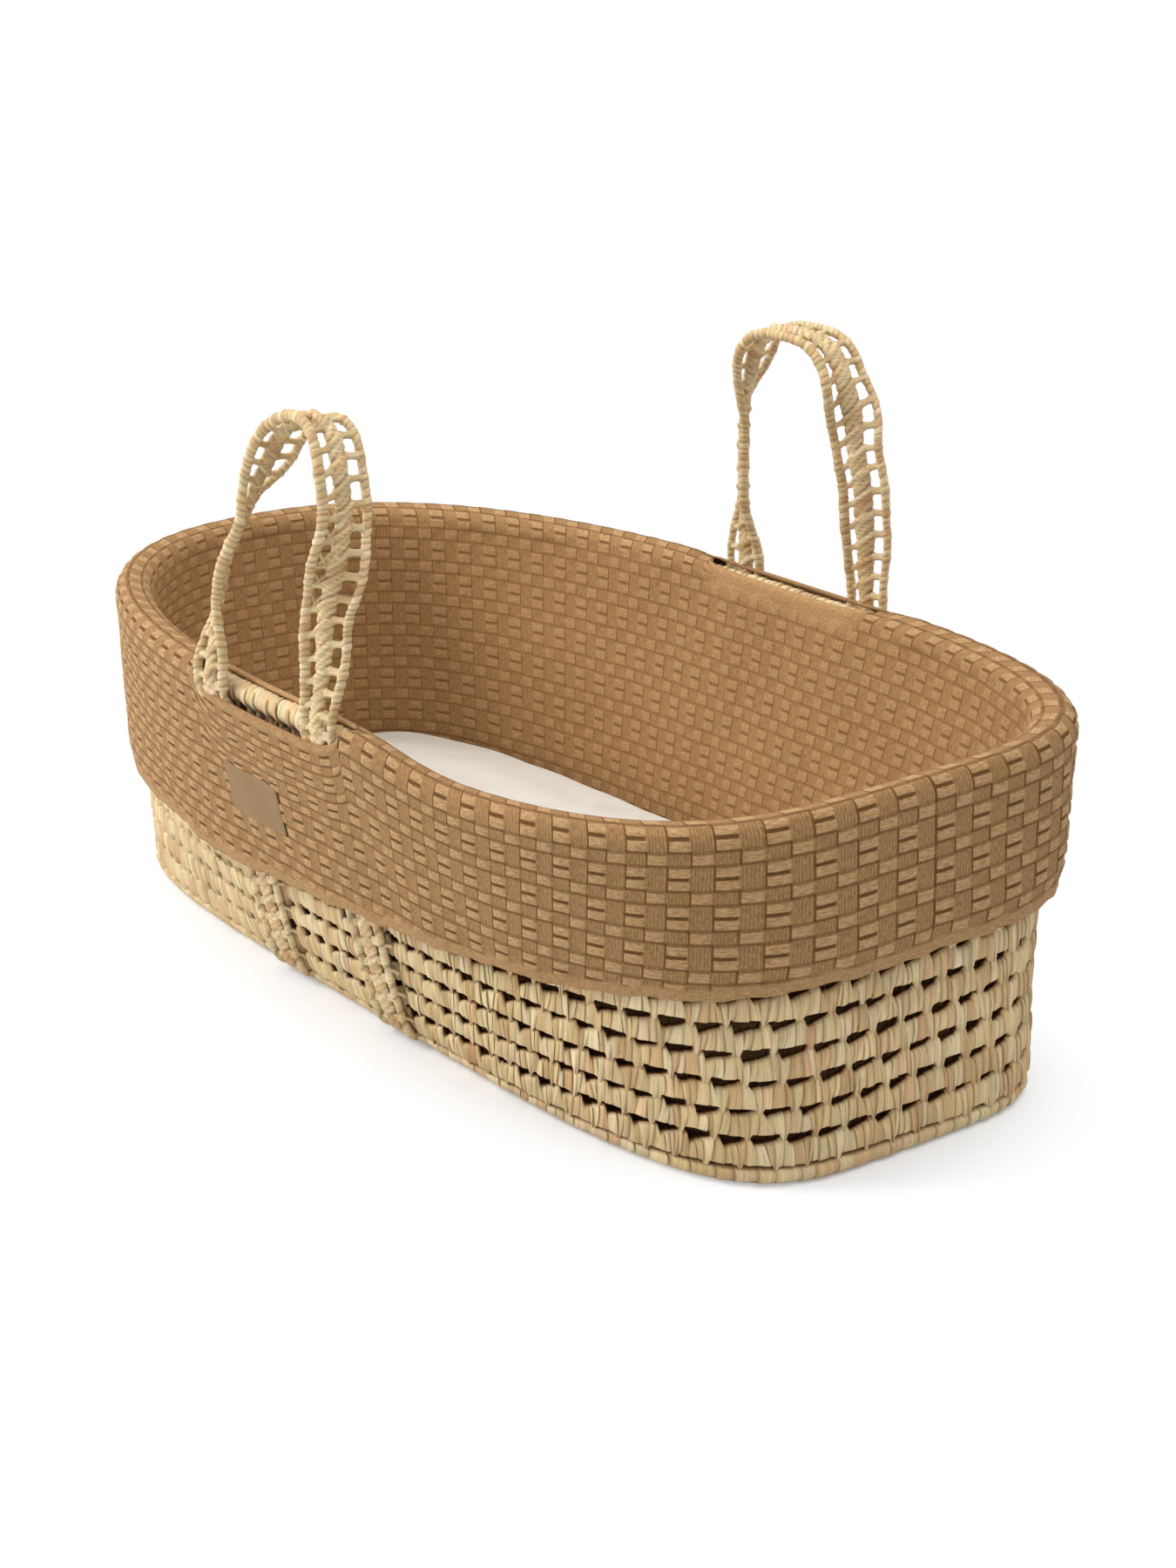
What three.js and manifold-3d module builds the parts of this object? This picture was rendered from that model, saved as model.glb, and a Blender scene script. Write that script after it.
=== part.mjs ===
// A palm-leaf carrying basket for a baby: an open wall of woven rows on a woven floor, a wrapped
// rim roll, two openwork handles whose straps run down the wall and under the floor, a knitted
// cover that lines the inside and folds over the rim, and a thin mattress with a zipped cover.
// Millimetres. +X is the head end, -Y the front long side, +Z up, floor at zero.

import * as THREE from "three";
import { mergeVertices } from "three/addons/utils/BufferGeometryUtils.js";
import Module from "manifold-3d";

// The wall's outer face, at the floor and at the rim
const RIM_TOP = 250;
const RIM_LEAN = 6;
const RIM_HEAD_REACH = 408;
const RIM_FOOT_REACH = 408;
const RIM_HALF_WIDTH = 222;
const BASE_HEAD_REACH = 418;
const BASE_FOOT_REACH = 371;
const BASE_HALF_WIDTH = 163;
const WIDEST_X = 18;
// How square each end is, and how fast the wall leaves the floor outline: ratios, not lengths
const RIM_SQUARENESS_SHARES = { head: 3.45, foot: 2.3 };
const BASE_SQUARENESS_SHARES = { head: 4.6, foot: 4.8 };
const BELLY_SHARE = 0.68;

// Woven wall
const WALL_THICKNESS = 7;
const FLOOR_THICKNESS = 11.5;
const ROW_COUNT = 11;
const LASHED_ROW_COUNT = 7;
const ROW_GAP = 4;
const LASHING_PITCH = 58;
const LASHING_WIDTH = 13;
const LASHING_INSET = 1;
const ROW_SHIFT_SHARE = 0.37;

// Rim roll and the knitted cover round it
const ROLL_RADIUS = 8;
const ROLL_SIDES = 8;
const ROLL_OFFSET = -3.5;
const COVER_THICKNESS = 3.5;
const COVER_CLEARANCE = 0.5;
const SHOULDER_PADDING = 4;
const LINING_GAP = 4.5;
const LINING_BOTTOM = 15;
const SKIRT_STAND_OFF = 9;
const HEM_FOOT_SHARE = 0.37;
const HEM_HEAD_SHARE = 0.55;
const HEM_RISE_START = -100;
const HEM_TUCK_HEIGHT = 25;
const HEM_LIP = 1.2;
const HEM_STAND_OFF = 3.5;
const LONG_SIDE_SHARE = 0.35;
const ELASTIC_THICKNESS = 1.8;
const ELASTIC_GAP = 0.75;
const ELASTIC_HEIGHT = 6.2;
const SLOT_HALF_LENGTH = 98;
const SLOT_DEPTH = 18;
const SLOT_INNER_EDGE = 6;
const SLOT_SQUARENESS_SHARE = 6;
const BINDING_HALF_LENGTH = 89;
const BINDING_THICKNESS = 1.5;
const BINDING_ANGLES = [128, 146, 165];
const STATION_COUNT = 48;

// Handles and their straps
const HANDLE_X = 20;
const HANDLE_SKEW = 15;
const HANDLE_HALF_SPACING = 70;
const HANDLE_RISE = 190;
const HANDLE_SQUARENESS_SHARE = 3;
const STRAP_WIDTH = 41;
const EDGE_CORE_WIDTH = 7;
const MIDDLE_CORE_WIDTH = 13;
const CORE_HALF_THICKNESS = 4;
const TIE_HALF_THICKNESS = 2;
const TIE_LENGTH = 7;
const TIE_COUNT = 21;
const LOW_TWIST_END = 55;
const LOW_TWIST_SHARE = 0.45;
const HIGH_TWIST_START = 115;
const HIGH_TWIST_END = 180;
const HINGE_CLEARANCE = 1.2;
const HINGE_GAP = 0.65;
const HINGE_SEAT_DEG = 30;
const HINGE_SEAT_GAP = 0.45;
const FRONT_LEAN_DEG = 10;
const BACK_LEAN_DEG = 4;
const STRAP_THICKNESS = 6;
const STRAP_EDGE_THICKNESS = 3.5;
const STRAP_GAP = 0.4;
const STRAP_STEPS = 7;

// Label patch on the front of the skirt
const LABEL_X = -25;
const LABEL_SHARE = 0.65;
const LABEL_HALF_LENGTH = 36;
const LABEL_HALF_HEIGHT = 20;
const LABEL_THICKNESS = 1;

// Mattress
const MATTRESS_HEIGHT = 52;
const MATTRESS_CROWN = 7;
const MATTRESS_INSET = 27;
const MATTRESS_EDGE = 14;
const MATTRESS_DRAW_IN = 3;
const MATTRESS_CROWN_INSET = 70;
const MATTRESS_CROWN_SHARE = 0.8;
const MATTRESS_SHARE = 0.05;
const MATTRESS_STATIONS = 36;
const TICKING_THICKNESS = 2;
const ZIP_HALF_LENGTH = 90;
const ZIP_HALF_HEIGHT = 3;

// Space between pieces that touch, and how far a cutter runs past what it cuts
const SEAT = 0.3;
const OVERRUN = 40;

const ACROSS = new THREE.Vector3(0, 1, 0);
const FRONT = -1;
const BACK = 1;
const FOOT_LEG = -1;
const HEAD_LEG = 1;

const wasm = await Module();
wasm.setup();

// Collects facets, then turns them into one geometry whose faces point outwards.
class Facets {
  constructor() {
    this.corners = [];
  }

  triangle(a, b, c) {
    const area = b.clone().sub(a).cross(c.clone().sub(a)).length();
    if (area > 0) this.corners.push(a, b, c);
  }

  quad(a, b, c, d) {
    this.triangle(a, b, c);
    this.triangle(a, c, d);
  }

  geometry() {
    let volume = 0;
    for (let i = 0; i < this.corners.length; i += 3) {
      const [a, b, c] = this.corners.slice(i, i + 3);
      volume += a.dot(b.clone().cross(c));
    }
    const ordered = volume < 0 ? this.corners.reverse() : this.corners;
    return new THREE.BufferGeometry().setFromPoints(ordered);
  }
}

// A closed ring of alike sections, each a closed loop of points.
function ringSolid(sections) {
  const facets = new Facets();
  sections.forEach((section, i) => {
    const next = sections[(i + 1) % sections.length];
    section.forEach((point, j) => {
      const k = (j + 1) % section.length;
      facets.quad(point, next[j], next[k], section[k]);
    });
  });
  return facets.geometry();
}

// A stack of closed outlines, shut at both ends by fans round a middle point.
function stackSolid(outlines, firstPole, lastPole) {
  const facets = new Facets();
  const count = outlines[0].length;
  const last = outlines[outlines.length - 1];
  for (let j = 0; j < count; j++) {
    const k = (j + 1) % count;
    for (let i = 0; i + 1 < outlines.length; i++) {
      facets.quad(outlines[i][j], outlines[i][k], outlines[i + 1][k], outlines[i + 1][j]);
    }
    facets.triangle(firstPole, outlines[0][k], outlines[0][j]);
    facets.triangle(lastPole, last[j], last[k]);
  }
  return facets.geometry();
}

// A slab between two grids of points, without the cells that isOpen names.
function slabSolid(outer, inner, isOpen = () => false) {
  const facets = new Facets();
  const rows = outer.length - 1;
  const columns = outer[0].length - 1;
  const solid = (i, j) => i >= 0 && j >= 0 && i < rows && j < columns && !isOpen(i, j);
  const wall = (i, j, k, l) => facets.quad(outer[i][j], outer[k][l], inner[k][l], inner[i][j]);
  for (let i = 0; i < rows; i++) {
    for (let j = 0; j < columns; j++) {
      if (!solid(i, j)) continue;
      facets.quad(outer[i][j], outer[i + 1][j], outer[i + 1][j + 1], outer[i][j + 1]);
      facets.quad(inner[i][j], inner[i][j + 1], inner[i + 1][j + 1], inner[i + 1][j]);
      if (!solid(i - 1, j)) wall(i, j, i, j + 1);
      if (!solid(i + 1, j)) wall(i + 1, j + 1, i + 1, j);
      if (!solid(i, j - 1)) wall(i + 1, j, i, j);
      if (!solid(i, j + 1)) wall(i, j + 1, i + 1, j + 1);
    }
  }
  return facets.geometry();
}

// Manifold solids, for cuts
function toSolid(geometry) {
  const bare = new THREE.BufferGeometry();
  bare.setAttribute("position", geometry.getAttribute("position"));
  if (geometry.index) bare.setIndex(geometry.index);
  const merged = mergeVertices(bare);
  const vertProperties = merged.attributes.position.array;
  const triVerts = new Uint32Array(merged.index.array);
  return new wasm.Manifold(new wasm.Mesh({ numProp: 3, vertProperties, triVerts }));
}

function fromSolid(solid) {
  const mesh = solid.getMesh();
  const geometry = new THREE.BufferGeometry();
  geometry.setAttribute("position", new THREE.BufferAttribute(mesh.vertProperties, 3));
  geometry.setIndex(new THREE.BufferAttribute(mesh.triVerts, 1));
  return geometry;
}

function mix(from, to, share) {
  return from + (to - from) * share;
}

function smooth(from, to, value) {
  return THREE.MathUtils.smoothstep(value, from, to);
}

// Distance from the widest line to an outline at a bearing: a superellipse whose two halves
// have their own reach and squareness. An offset widens every half axis.
function outlineRadius(bearing, headReach, footReach, halfWidth, squareness, offset) {
  const atHead = Math.cos(bearing) >= 0;
  const reach = (atHead ? headReach - WIDEST_X : footReach + WIDEST_X) + offset;
  const power = atHead ? squareness.head : squareness.foot;
  const along = Math.abs(Math.cos(bearing)) / reach;
  const across = Math.abs(Math.sin(bearing)) / (halfWidth + offset);
  return (along ** power + across ** power) ** (-1 / power);
}

// A point of the wall at a bearing and a share of the height, offset from its outer face.
function wallPoint(bearing, share, offset, lift = 0) {
  const base = outlineRadius(
    bearing, BASE_HEAD_REACH, BASE_FOOT_REACH, BASE_HALF_WIDTH, BASE_SQUARENESS_SHARES, offset);
  const rim = outlineRadius(
    bearing, RIM_HEAD_REACH, RIM_FOOT_REACH, RIM_HALF_WIDTH, RIM_SQUARENESS_SHARES, offset);
  const face = outlineRadius(
    bearing, RIM_HEAD_REACH, RIM_FOOT_REACH, RIM_HALF_WIDTH, RIM_SQUARENESS_SHARES, 0);
  const radius = mix(base, rim, share ** BELLY_SHARE);
  const top = RIM_TOP + RIM_LEAN * (face * Math.sin(bearing)) / RIM_HALF_WIDTH;
  const x = WIDEST_X + radius * Math.cos(bearing);
  return new THREE.Vector3(x, radius * Math.sin(bearing), share * top + lift);
}

// The point of a long side that lies at a given x.
function sidePoint(x, share, offset, side, lift = 0) {
  let near = 0;
  let far = Math.PI;
  for (let step = 0; step < 40; step++) {
    const middle = (near + far) / 2;
    if (wallPoint(side * middle, share, offset).x > x) near = middle;
    else far = middle;
  }
  return wallPoint(side * near, share, offset, lift);
}

// Bearings that part an outline into lengths in the proportions given, from the head end round.
function bearingsAlong(fractions, share) {
  const samples = 1440;
  const lengths = [0];
  let before = wallPoint(0, share, 0);
  for (let i = 1; i <= samples; i++) {
    const point = wallPoint((i / samples) * 2 * Math.PI, share, 0);
    lengths.push(lengths[i - 1] + point.distanceTo(before));
    before = point;
  }
  const total = lengths[samples];
  return fractions.map((fraction) => {
    const wanted = fraction * total;
    const i = Math.max(1, lengths.findIndex((length) => length >= wanted));
    const part = (wanted - lengths[i - 1]) / (lengths[i] - lengths[i - 1]);
    return ((i - 1 + part) / samples) * 2 * Math.PI;
  });
}

function perimeter(share) {
  let total = 0;
  const points = bearingsAlong([...Array(STATION_COUNT).keys()].map((i) => i / STATION_COUNT), share)
    .map((bearing) => wallPoint(bearing, share, 0));
  points.forEach((point, i) => {
    total += point.distanceTo(points[(i + 1) % points.length]);
  });
  return total;
}

// Heights that the pieces share
const ROLL_CENTRE = RIM_TOP - COVER_THICKNESS - COVER_CLEARANCE - ROLL_RADIUS;
const ROLL_SHARE = ROLL_CENTRE / RIM_TOP;
const LOWEST_SHARE = FLOOR_THICKNESS / (RIM_TOP - RIM_LEAN);
const ROWS_START_SHARE = LOWEST_SHARE + SEAT / RIM_TOP;
const ROWS_END_SHARE = (ROLL_CENTRE - ROLL_RADIUS - SEAT) / RIM_TOP;
const ROW_STEP_SHARE = (ROWS_END_SHARE - ROWS_START_SHARE) / ROW_COUNT;
const STATIONS = bearingsAlong([...Array(STATION_COUNT).keys()].map((i) => i / STATION_COUNT), 1);
const MIDDLE_SHARE = 0.3;

function material(color, roughness) {
  return new THREE.MeshStandardMaterial({ color, roughness, metalness: 0 });
}

const palm = material(0xd9c08a, 0.75);
const palePalm = material(0xe6d39a, 0.7);
const knit = material(0xa57b4d, 0.95);
const knitBinding = material(0xa98053, 0.95);
const cotton = material(0xece7df, 0.95);
const foam = material(0xf2eecf, 0.9);
const elastic = material(0xe8e6e0, 0.8);
const zipTape = material(0xdcd8d0, 0.8);
const tag = material(0xa8855c, 0.85);

// One woven row: a flat band round the wall that stands on the row below on its lashings, with
// openings between them. Rows that the skirt hides have no openings.
function wallRow(index) {
  const bottom = ROWS_START_SHARE + index * ROW_STEP_SHARE;
  const lashed = index < LASHED_ROW_COUNT;
  const gap = lashed ? ROW_GAP : SEAT;
  const low = bottom + gap / RIM_TOP;
  const high = bottom + ROW_STEP_SHARE - SEAT / RIM_TOP;
  const length = perimeter(low);
  const count = Math.round(length / LASHING_PITCH);
  const shift = ((index * ROW_SHIFT_SHARE) % 1) / count;
  const fractions = [];
  for (let i = 0; i < count; i++) {
    fractions.push((i / count + shift) % 1);
    if (lashed) fractions.push((i / count + shift + LASHING_WIDTH / length) % 1);
  }
  const bearings = bearingsAlong(fractions, low);
  const corners = bearings.map((bearing) => [
    wallPoint(bearing, high, 0),
    wallPoint(bearing, low, 0),
    wallPoint(bearing, low, -WALL_THICKNESS),
    wallPoint(bearing, high, -WALL_THICKNESS),
  ]);
  if (!lashed) return ringSolid(corners);

  const feet = bearings.map((bearing) => [
    wallPoint(bearing, bottom, -LASHING_INSET),
    wallPoint(bearing, bottom, LASHING_INSET - WALL_THICKNESS),
  ]);
  const facets = new Facets();
  corners.forEach(([outerTop, outerLow, innerLow, innerTop], i) => {
    const j = (i + 1) % corners.length;
    const next = corners[j];
    facets.quad(outerTop, outerLow, next[1], next[0]);
    facets.quad(innerLow, innerTop, next[3], next[2]);
    facets.quad(innerTop, outerTop, next[0], next[3]);
    if (i % 2 === 1) {
      facets.quad(outerLow, innerLow, next[2], next[1]);
      return;
    }
    facets.quad(outerLow, feet[i][0], feet[j][0], next[1]);
    facets.quad(feet[i][1], innerLow, next[2], feet[j][1]);
    facets.quad(feet[i][0], feet[i][1], feet[j][1], feet[j][0]);
    facets.quad(outerLow, innerLow, feet[i][1], feet[i][0]);
    facets.quad(next[1], feet[j][0], feet[j][1], next[2]);
  });
  return facets.geometry();
}

// The woven floor, rounded up into the wall, with a channel under it for each strap.
function wovenFloor() {
  const heights = [0, FLOOR_THICKNESS / 3, FLOOR_THICKNESS];
  const outlines = heights.map((height) =>
    STATIONS.map((bearing) => {
      const point = wallPoint(bearing, height / RIM_TOP, 0);
      return point.setZ(height);
    }));
  const middle = new THREE.Vector3(WIDEST_X, 0, 0);
  let solid = toSolid(stackSolid(outlines, middle, middle.clone().setZ(FLOOR_THICKNESS)));
  const width = STRAP_WIDTH + 4 * SEAT;
  const depth = STRAP_THICKNESS + 2 * SEAT;
  for (const leg of [FOOT_LEG, HEAD_LEG]) {
    solid = solid.subtract(toSolid(strapChannel(leg, width, depth)));
  }
  return fromSolid(solid);
}

// Middle of a handle along the basket: the front one stands nearer the foot end.
function handleX(side) {
  return HANDLE_X + side * HANDLE_SKEW;
}

function legX(leg, side) {
  return handleX(side) + leg * HANDLE_HALF_SPACING;
}

// The channel under the floor runs aslant from the front leg to the back leg of a strap.
function strapChannel(leg, width, depth) {
  const low = STRAP_THICKNESS / RIM_TOP;
  const turnAt = (side) => sidePoint(legX(leg, side), low, -STRAP_THICKNESS, side).y;
  const line = [
    [legX(leg, FRONT), -RIM_HALF_WIDTH],
    [legX(leg, FRONT), turnAt(FRONT)],
    [legX(leg, BACK), turnAt(BACK)],
    [legX(leg, BACK), RIM_HALF_WIDTH],
  ];
  const shape = new THREE.Shape();
  shape.setFromPoints([
    ...line.map(([x, y]) => new THREE.Vector2(x + width / 2, y)),
    ...line.reverse().map(([x, y]) => new THREE.Vector2(x - width / 2, y)),
  ]);
  const channel = new THREE.ExtrudeGeometry(shape, { depth: 2 * depth, bevelEnabled: false });
  channel.translate(0, 0, -depth);
  return channel;
}

function rimRoll() {
  const sections = STATIONS.map((bearing) => {
    const section = [];
    for (let i = 0; i < ROLL_SIDES; i++) {
      const angle = (i / ROLL_SIDES) * 2 * Math.PI;
      const offset = ROLL_OFFSET + ROLL_RADIUS * Math.cos(angle);
      section.push(wallPoint(bearing, ROLL_SHARE, offset, ROLL_RADIUS * Math.sin(angle)));
    }
    return section;
  });
  return ringSolid(sections);
}

// Height and stand-off of the skirt's hem at a bearing: it climbs towards the head end, and
// stands clear of the straps along the middle of both long sides.
function hemShare(bearing) {
  const x = wallPoint(bearing, MIDDLE_SHARE, 0).x;
  const part = (x - HEM_RISE_START) / (BASE_HEAD_REACH - HEM_RISE_START);
  return mix(HEM_FOOT_SHARE, HEM_HEAD_SHARE, THREE.MathUtils.clamp(part, 0, 1));
}

function hemStandOff(bearing) {
  const x = wallPoint(bearing, MIDDLE_SHARE, 0).x;
  const past = Math.abs(x - handleX(Math.sign(Math.sin(bearing)))) - 2 * HANDLE_HALF_SPACING;
  const onSide = Math.abs(Math.sin(bearing)) > LONG_SIDE_SHARE;
  const clear = STRAP_THICKNESS + 3 * SEAT;
  return onSide ? mix(clear, HEM_STAND_OFF, smooth(0, STRAP_WIDTH, past)) : HEM_STAND_OFF;
}

const COVER_INNER_RADIUS = ROLL_RADIUS + COVER_CLEARANCE;
const COVER_OUTER_RADIUS = COVER_INNER_RADIUS + COVER_THICKNESS;
const HEM_CHANNEL = ELASTIC_THICKNESS + 2 * ELASTIC_GAP;

// A point on the padded outer face of the cover where it folds over the roll.
function shoulderPoint(bearing, degrees, radius) {
  const angle = THREE.MathUtils.degToRad(degrees);
  const wide = Math.cos(angle) > 0 ? radius + SHOULDER_PADDING : radius;
  const offset = ROLL_OFFSET + wide * Math.cos(angle);
  return wallPoint(bearing, ROLL_SHARE, offset, radius * Math.sin(angle));
}

// A point of the hem's channel, at an offset from the skirt's inner face and a height above the
// hem. It leans outwards as that face does.
function channelPoint(bearing, offset, height) {
  const stand = hemStandOff(bearing);
  const lean = ((SKIRT_STAND_OFF - stand) * height) / HEM_TUCK_HEIGHT;
  return wallPoint(bearing, hemShare(bearing) + height / RIM_TOP, stand + offset + lean);
}

// The cover's section: lining, fold over the roll, skirt, and a hem with an open channel.
function coverSection(bearing) {
  const tuck = hemShare(bearing) + HEM_TUCK_HEIGHT / RIM_TOP;
  const back = -(WALL_THICKNESS + LINING_GAP);
  const skirt = SKIRT_STAND_OFF + COVER_THICKNESS;
  const at = (share, offset, lift) => wallPoint(bearing, share, offset, lift);
  const fold = (degrees) => {
    const angle = THREE.MathUtils.degToRad(degrees);
    const offset = ROLL_OFFSET + COVER_INNER_RADIUS * Math.cos(angle);
    return at(ROLL_SHARE, offset, COVER_INNER_RADIUS * Math.sin(angle));
  };
  const lip = HEM_LIP + HEM_CHANNEL;
  const deep = ELASTIC_HEIGHT + 2 * ELASTIC_GAP;
  return [
    at(LINING_BOTTOM / RIM_TOP, back),
    at(MIDDLE_SHARE, back - COVER_CLEARANCE),
    fold(180),
    fold(135),
    fold(90),
    fold(45),
    at(ROLL_SHARE, SKIRT_STAND_OFF, -ROLL_RADIUS / 2),
    at(tuck, SKIRT_STAND_OFF),
    channelPoint(bearing, 0, 0),
    channelPoint(bearing, HEM_LIP, 0),
    channelPoint(bearing, HEM_LIP, deep),
    channelPoint(bearing, lip, deep),
    channelPoint(bearing, lip, 0),
    channelPoint(bearing, lip + HEM_LIP, 0),
    at(tuck, skirt),
    shoulderPoint(bearing, 0, COVER_OUTER_RADIUS),
    shoulderPoint(bearing, 45, COVER_OUTER_RADIUS),
    shoulderPoint(bearing, 90, COVER_OUTER_RADIUS),
    shoulderPoint(bearing, 135, COVER_OUTER_RADIUS),
    shoulderPoint(bearing, 180, COVER_OUTER_RADIUS),
    at(MIDDLE_SHARE, back - COVER_CLEARANCE - COVER_THICKNESS),
    at(LINING_BOTTOM / RIM_TOP, back - COVER_THICKNESS),
  ];
}

// The opening at a handle: the cover is cut away from the roll's inner top to below its outside.
function slotCutter(side) {
  const centre = wallPoint((side * Math.PI) / 2, ROLL_SHARE, ROLL_OFFSET);
  const high = COVER_OUTER_RADIUS + OVERRUN;
  const drop = SLOT_DEPTH + COVER_OUTER_RADIUS;
  const outline = new THREE.Shape();
  outline.moveTo(-SLOT_HALF_LENGTH, high);
  const arcSteps = 20;
  for (let i = 0; i <= arcSteps; i++) {
    const along = mix(-1, 1, i / arcSteps);
    const depth = (1 - Math.abs(along) ** SLOT_SQUARENESS_SHARE) ** (1 / SLOT_SQUARENESS_SHARE);
    outline.lineTo(along * SLOT_HALF_LENGTH, COVER_OUTER_RADIUS - drop * depth);
  }
  outline.lineTo(SLOT_HALF_LENGTH, high);
  const depth = SLOT_INNER_EDGE + COVER_OUTER_RADIUS + SHOULDER_PADDING + OVERRUN;
  const cutter = new THREE.ExtrudeGeometry(outline, { depth, bevelEnabled: false });
  cutter.rotateX(Math.PI / 2);
  const nearEdge = Math.abs(centre.y) - SLOT_INNER_EDGE;
  const y = side === FRONT ? -nearEdge : nearEdge + depth;
  cutter.translate(handleX(side), y, centre.z);
  return cutter;
}

function knittedCover() {
  const whole = toSolid(ringSolid(STATIONS.map(coverSection)));
  const cut = whole.subtract(toSolid(slotCutter(FRONT))).subtract(toSolid(slotCutter(BACK)));
  return fromSolid(cut);
}

function hemElastic() {
  const near = HEM_LIP + ELASTIC_GAP;
  const far = near + ELASTIC_THICKNESS;
  const high = ELASTIC_HEIGHT + ELASTIC_GAP;
  const sections = STATIONS.map((bearing) => [
    channelPoint(bearing, near, ELASTIC_GAP),
    channelPoint(bearing, far, ELASTIC_GAP),
    channelPoint(bearing, far, high),
    channelPoint(bearing, near, high),
  ]);
  return ringSolid(sections);
}

// Places along a long side, from an x to another, as bearings of the wall at a height.
function bearingsBetween(fromX, toX, count, share, side) {
  const bearings = [];
  for (let i = 0; i <= count; i++) {
    const point = sidePoint(mix(fromX, toX, i / count), share, 0, side);
    bearings.push(Math.atan2(point.y, point.x - WIDEST_X));
  }
  return bearings;
}

// The knitted band that finishes a slot along the inside of the roll.
function slotBinding(side) {
  const from = handleX(side) - BINDING_HALF_LENGTH;
  const to = handleX(side) + BINDING_HALF_LENGTH;
  const bearings = bearingsBetween(from, to, 6, ROLL_SHARE, side);
  const near = COVER_OUTER_RADIUS + SEAT;
  const face = (radius) =>
    bearings.map((bearing) => BINDING_ANGLES.map((angle) => shoulderPoint(bearing, angle, radius)));
  return slabSolid(face(near + BINDING_THICKNESS), face(near));
}

function labelPatch() {
  const bearings = bearingsBetween(
    LABEL_X - LABEL_HALF_LENGTH, LABEL_X + LABEL_HALF_LENGTH, 3, LABEL_SHARE, FRONT);
  const rise = LABEL_HALF_HEIGHT / RIM_TOP;
  const near = SKIRT_STAND_OFF + COVER_THICKNESS + 2 * SEAT;
  const face = (offset) =>
    bearings.map((bearing) =>
      [-1, 0, 1].map((row) => wallPoint(bearing, LABEL_SHARE + row * rise, offset)));
  return slabSolid(face(near + LABEL_THICKNESS), face(near));
}

// The arch of a handle in its own plane, from the foot-side leg to the head-side leg.
class Arch extends THREE.Curve {
  getPoint(t, target = new THREE.Vector3()) {
    const angle = t * Math.PI;
    const power = 2 / HANDLE_SQUARENESS_SHARE;
    const x = -Math.sign(Math.cos(angle)) * Math.abs(Math.cos(angle)) ** power;
    const z = Math.abs(Math.sin(angle)) ** power;
    return target.set(x * HANDLE_HALF_SPACING, 0, z * HANDLE_RISE);
  }
}

const STRAP_HALF = STRAP_WIDTH / 2;
const MIDDLE_CORE_HALF = MIDDLE_CORE_WIDTH / 2;
// Lines across the handle's strap: where each lies and how thick the strap is there
const STRAP_LINES = [
  [-STRAP_HALF, TIE_HALF_THICKNESS],
  [EDGE_CORE_WIDTH / 2 - STRAP_HALF, CORE_HALF_THICKNESS],
  [EDGE_CORE_WIDTH - STRAP_HALF, TIE_HALF_THICKNESS],
  [-MIDDLE_CORE_HALF, TIE_HALF_THICKNESS],
  [0, CORE_HALF_THICKNESS],
  [MIDDLE_CORE_HALF, TIE_HALF_THICKNESS],
  [STRAP_HALF - EDGE_CORE_WIDTH, TIE_HALF_THICKNESS],
  [STRAP_HALF - EDGE_CORE_WIDTH / 2, CORE_HALF_THICKNESS],
  [STRAP_HALF, TIE_HALF_THICKNESS],
];
const OPEN_COLUMNS = [2, 5];

// Frame of the strap at a place along the arch: it lies flat against the wall at its foot and
// turns a quarter round in two steps on the way up, so that the arch lies flat in the hand.
function strapFrame(arch, along) {
  const centre = arch.getPointAt(along);
  const tangent = arch.getTangentAt(along);
  const archNormal = new THREE.Vector3().crossVectors(tangent, ACROSS).normalize();
  const turned = LOW_TWIST_SHARE * smooth(0, LOW_TWIST_END, centre.z)
    + (1 - LOW_TWIST_SHARE) * smooth(HIGH_TWIST_START, HIGH_TWIST_END, centre.z);
  const angle = mix(Math.PI / 2, 0, turned);
  const normal = archNormal.multiplyScalar(Math.cos(angle)).addScaledVector(ACROSS, -Math.sin(angle));
  const width = new THREE.Vector3().crossVectors(tangent, normal).normalize();
  return { centre, tangent, normal, width };
}

function handleStrap() {
  const arch = new Arch();
  const length = arch.getLength();
  const pitch = length / TIE_COUNT;
  const half = TIE_LENGTH / 2;
  const places = [];
  for (let i = 0; i <= TIE_COUNT; i++) {
    places.push(Math.max(0, i * pitch - half), Math.min(length, i * pitch + half));
  }
  const rows = places.map((place) => strapFrame(arch, place / length));
  const side = (sign) => (frame) =>
    STRAP_LINES.map(([across, thick]) =>
      frame.centre.clone()
        .addScaledVector(frame.width, across)
        .addScaledVector(frame.normal, sign * thick));
  // Rounded feet, so that each leg can turn on its hinge line
  const foot = (frame, sign, direction, degrees) => {
    const angle = THREE.MathUtils.degToRad(degrees);
    return STRAP_LINES.map(([across, thick]) =>
      frame.centre.clone()
        .addScaledVector(frame.tangent, direction * thick * Math.sin(angle))
        .addScaledVector(frame.width, across)
        .addScaledVector(frame.normal, sign * thick * Math.cos(angle)));
  };
  const last = rows[rows.length - 1];
  const face = (sign) => [
    foot(rows[0], sign, -1, 75),
    foot(rows[0], sign, -1, 45),
    ...rows.map(side(sign)),
    foot(last, sign, 1, 45),
    foot(last, sign, 1, 75),
  ];
  const isOpen = (i, j) => i > 2 && i < rows.length && i % 2 === 1 && OPEN_COLUMNS.includes(j);
  return slabSolid(face(1), face(-1), isOpen);
}

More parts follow.
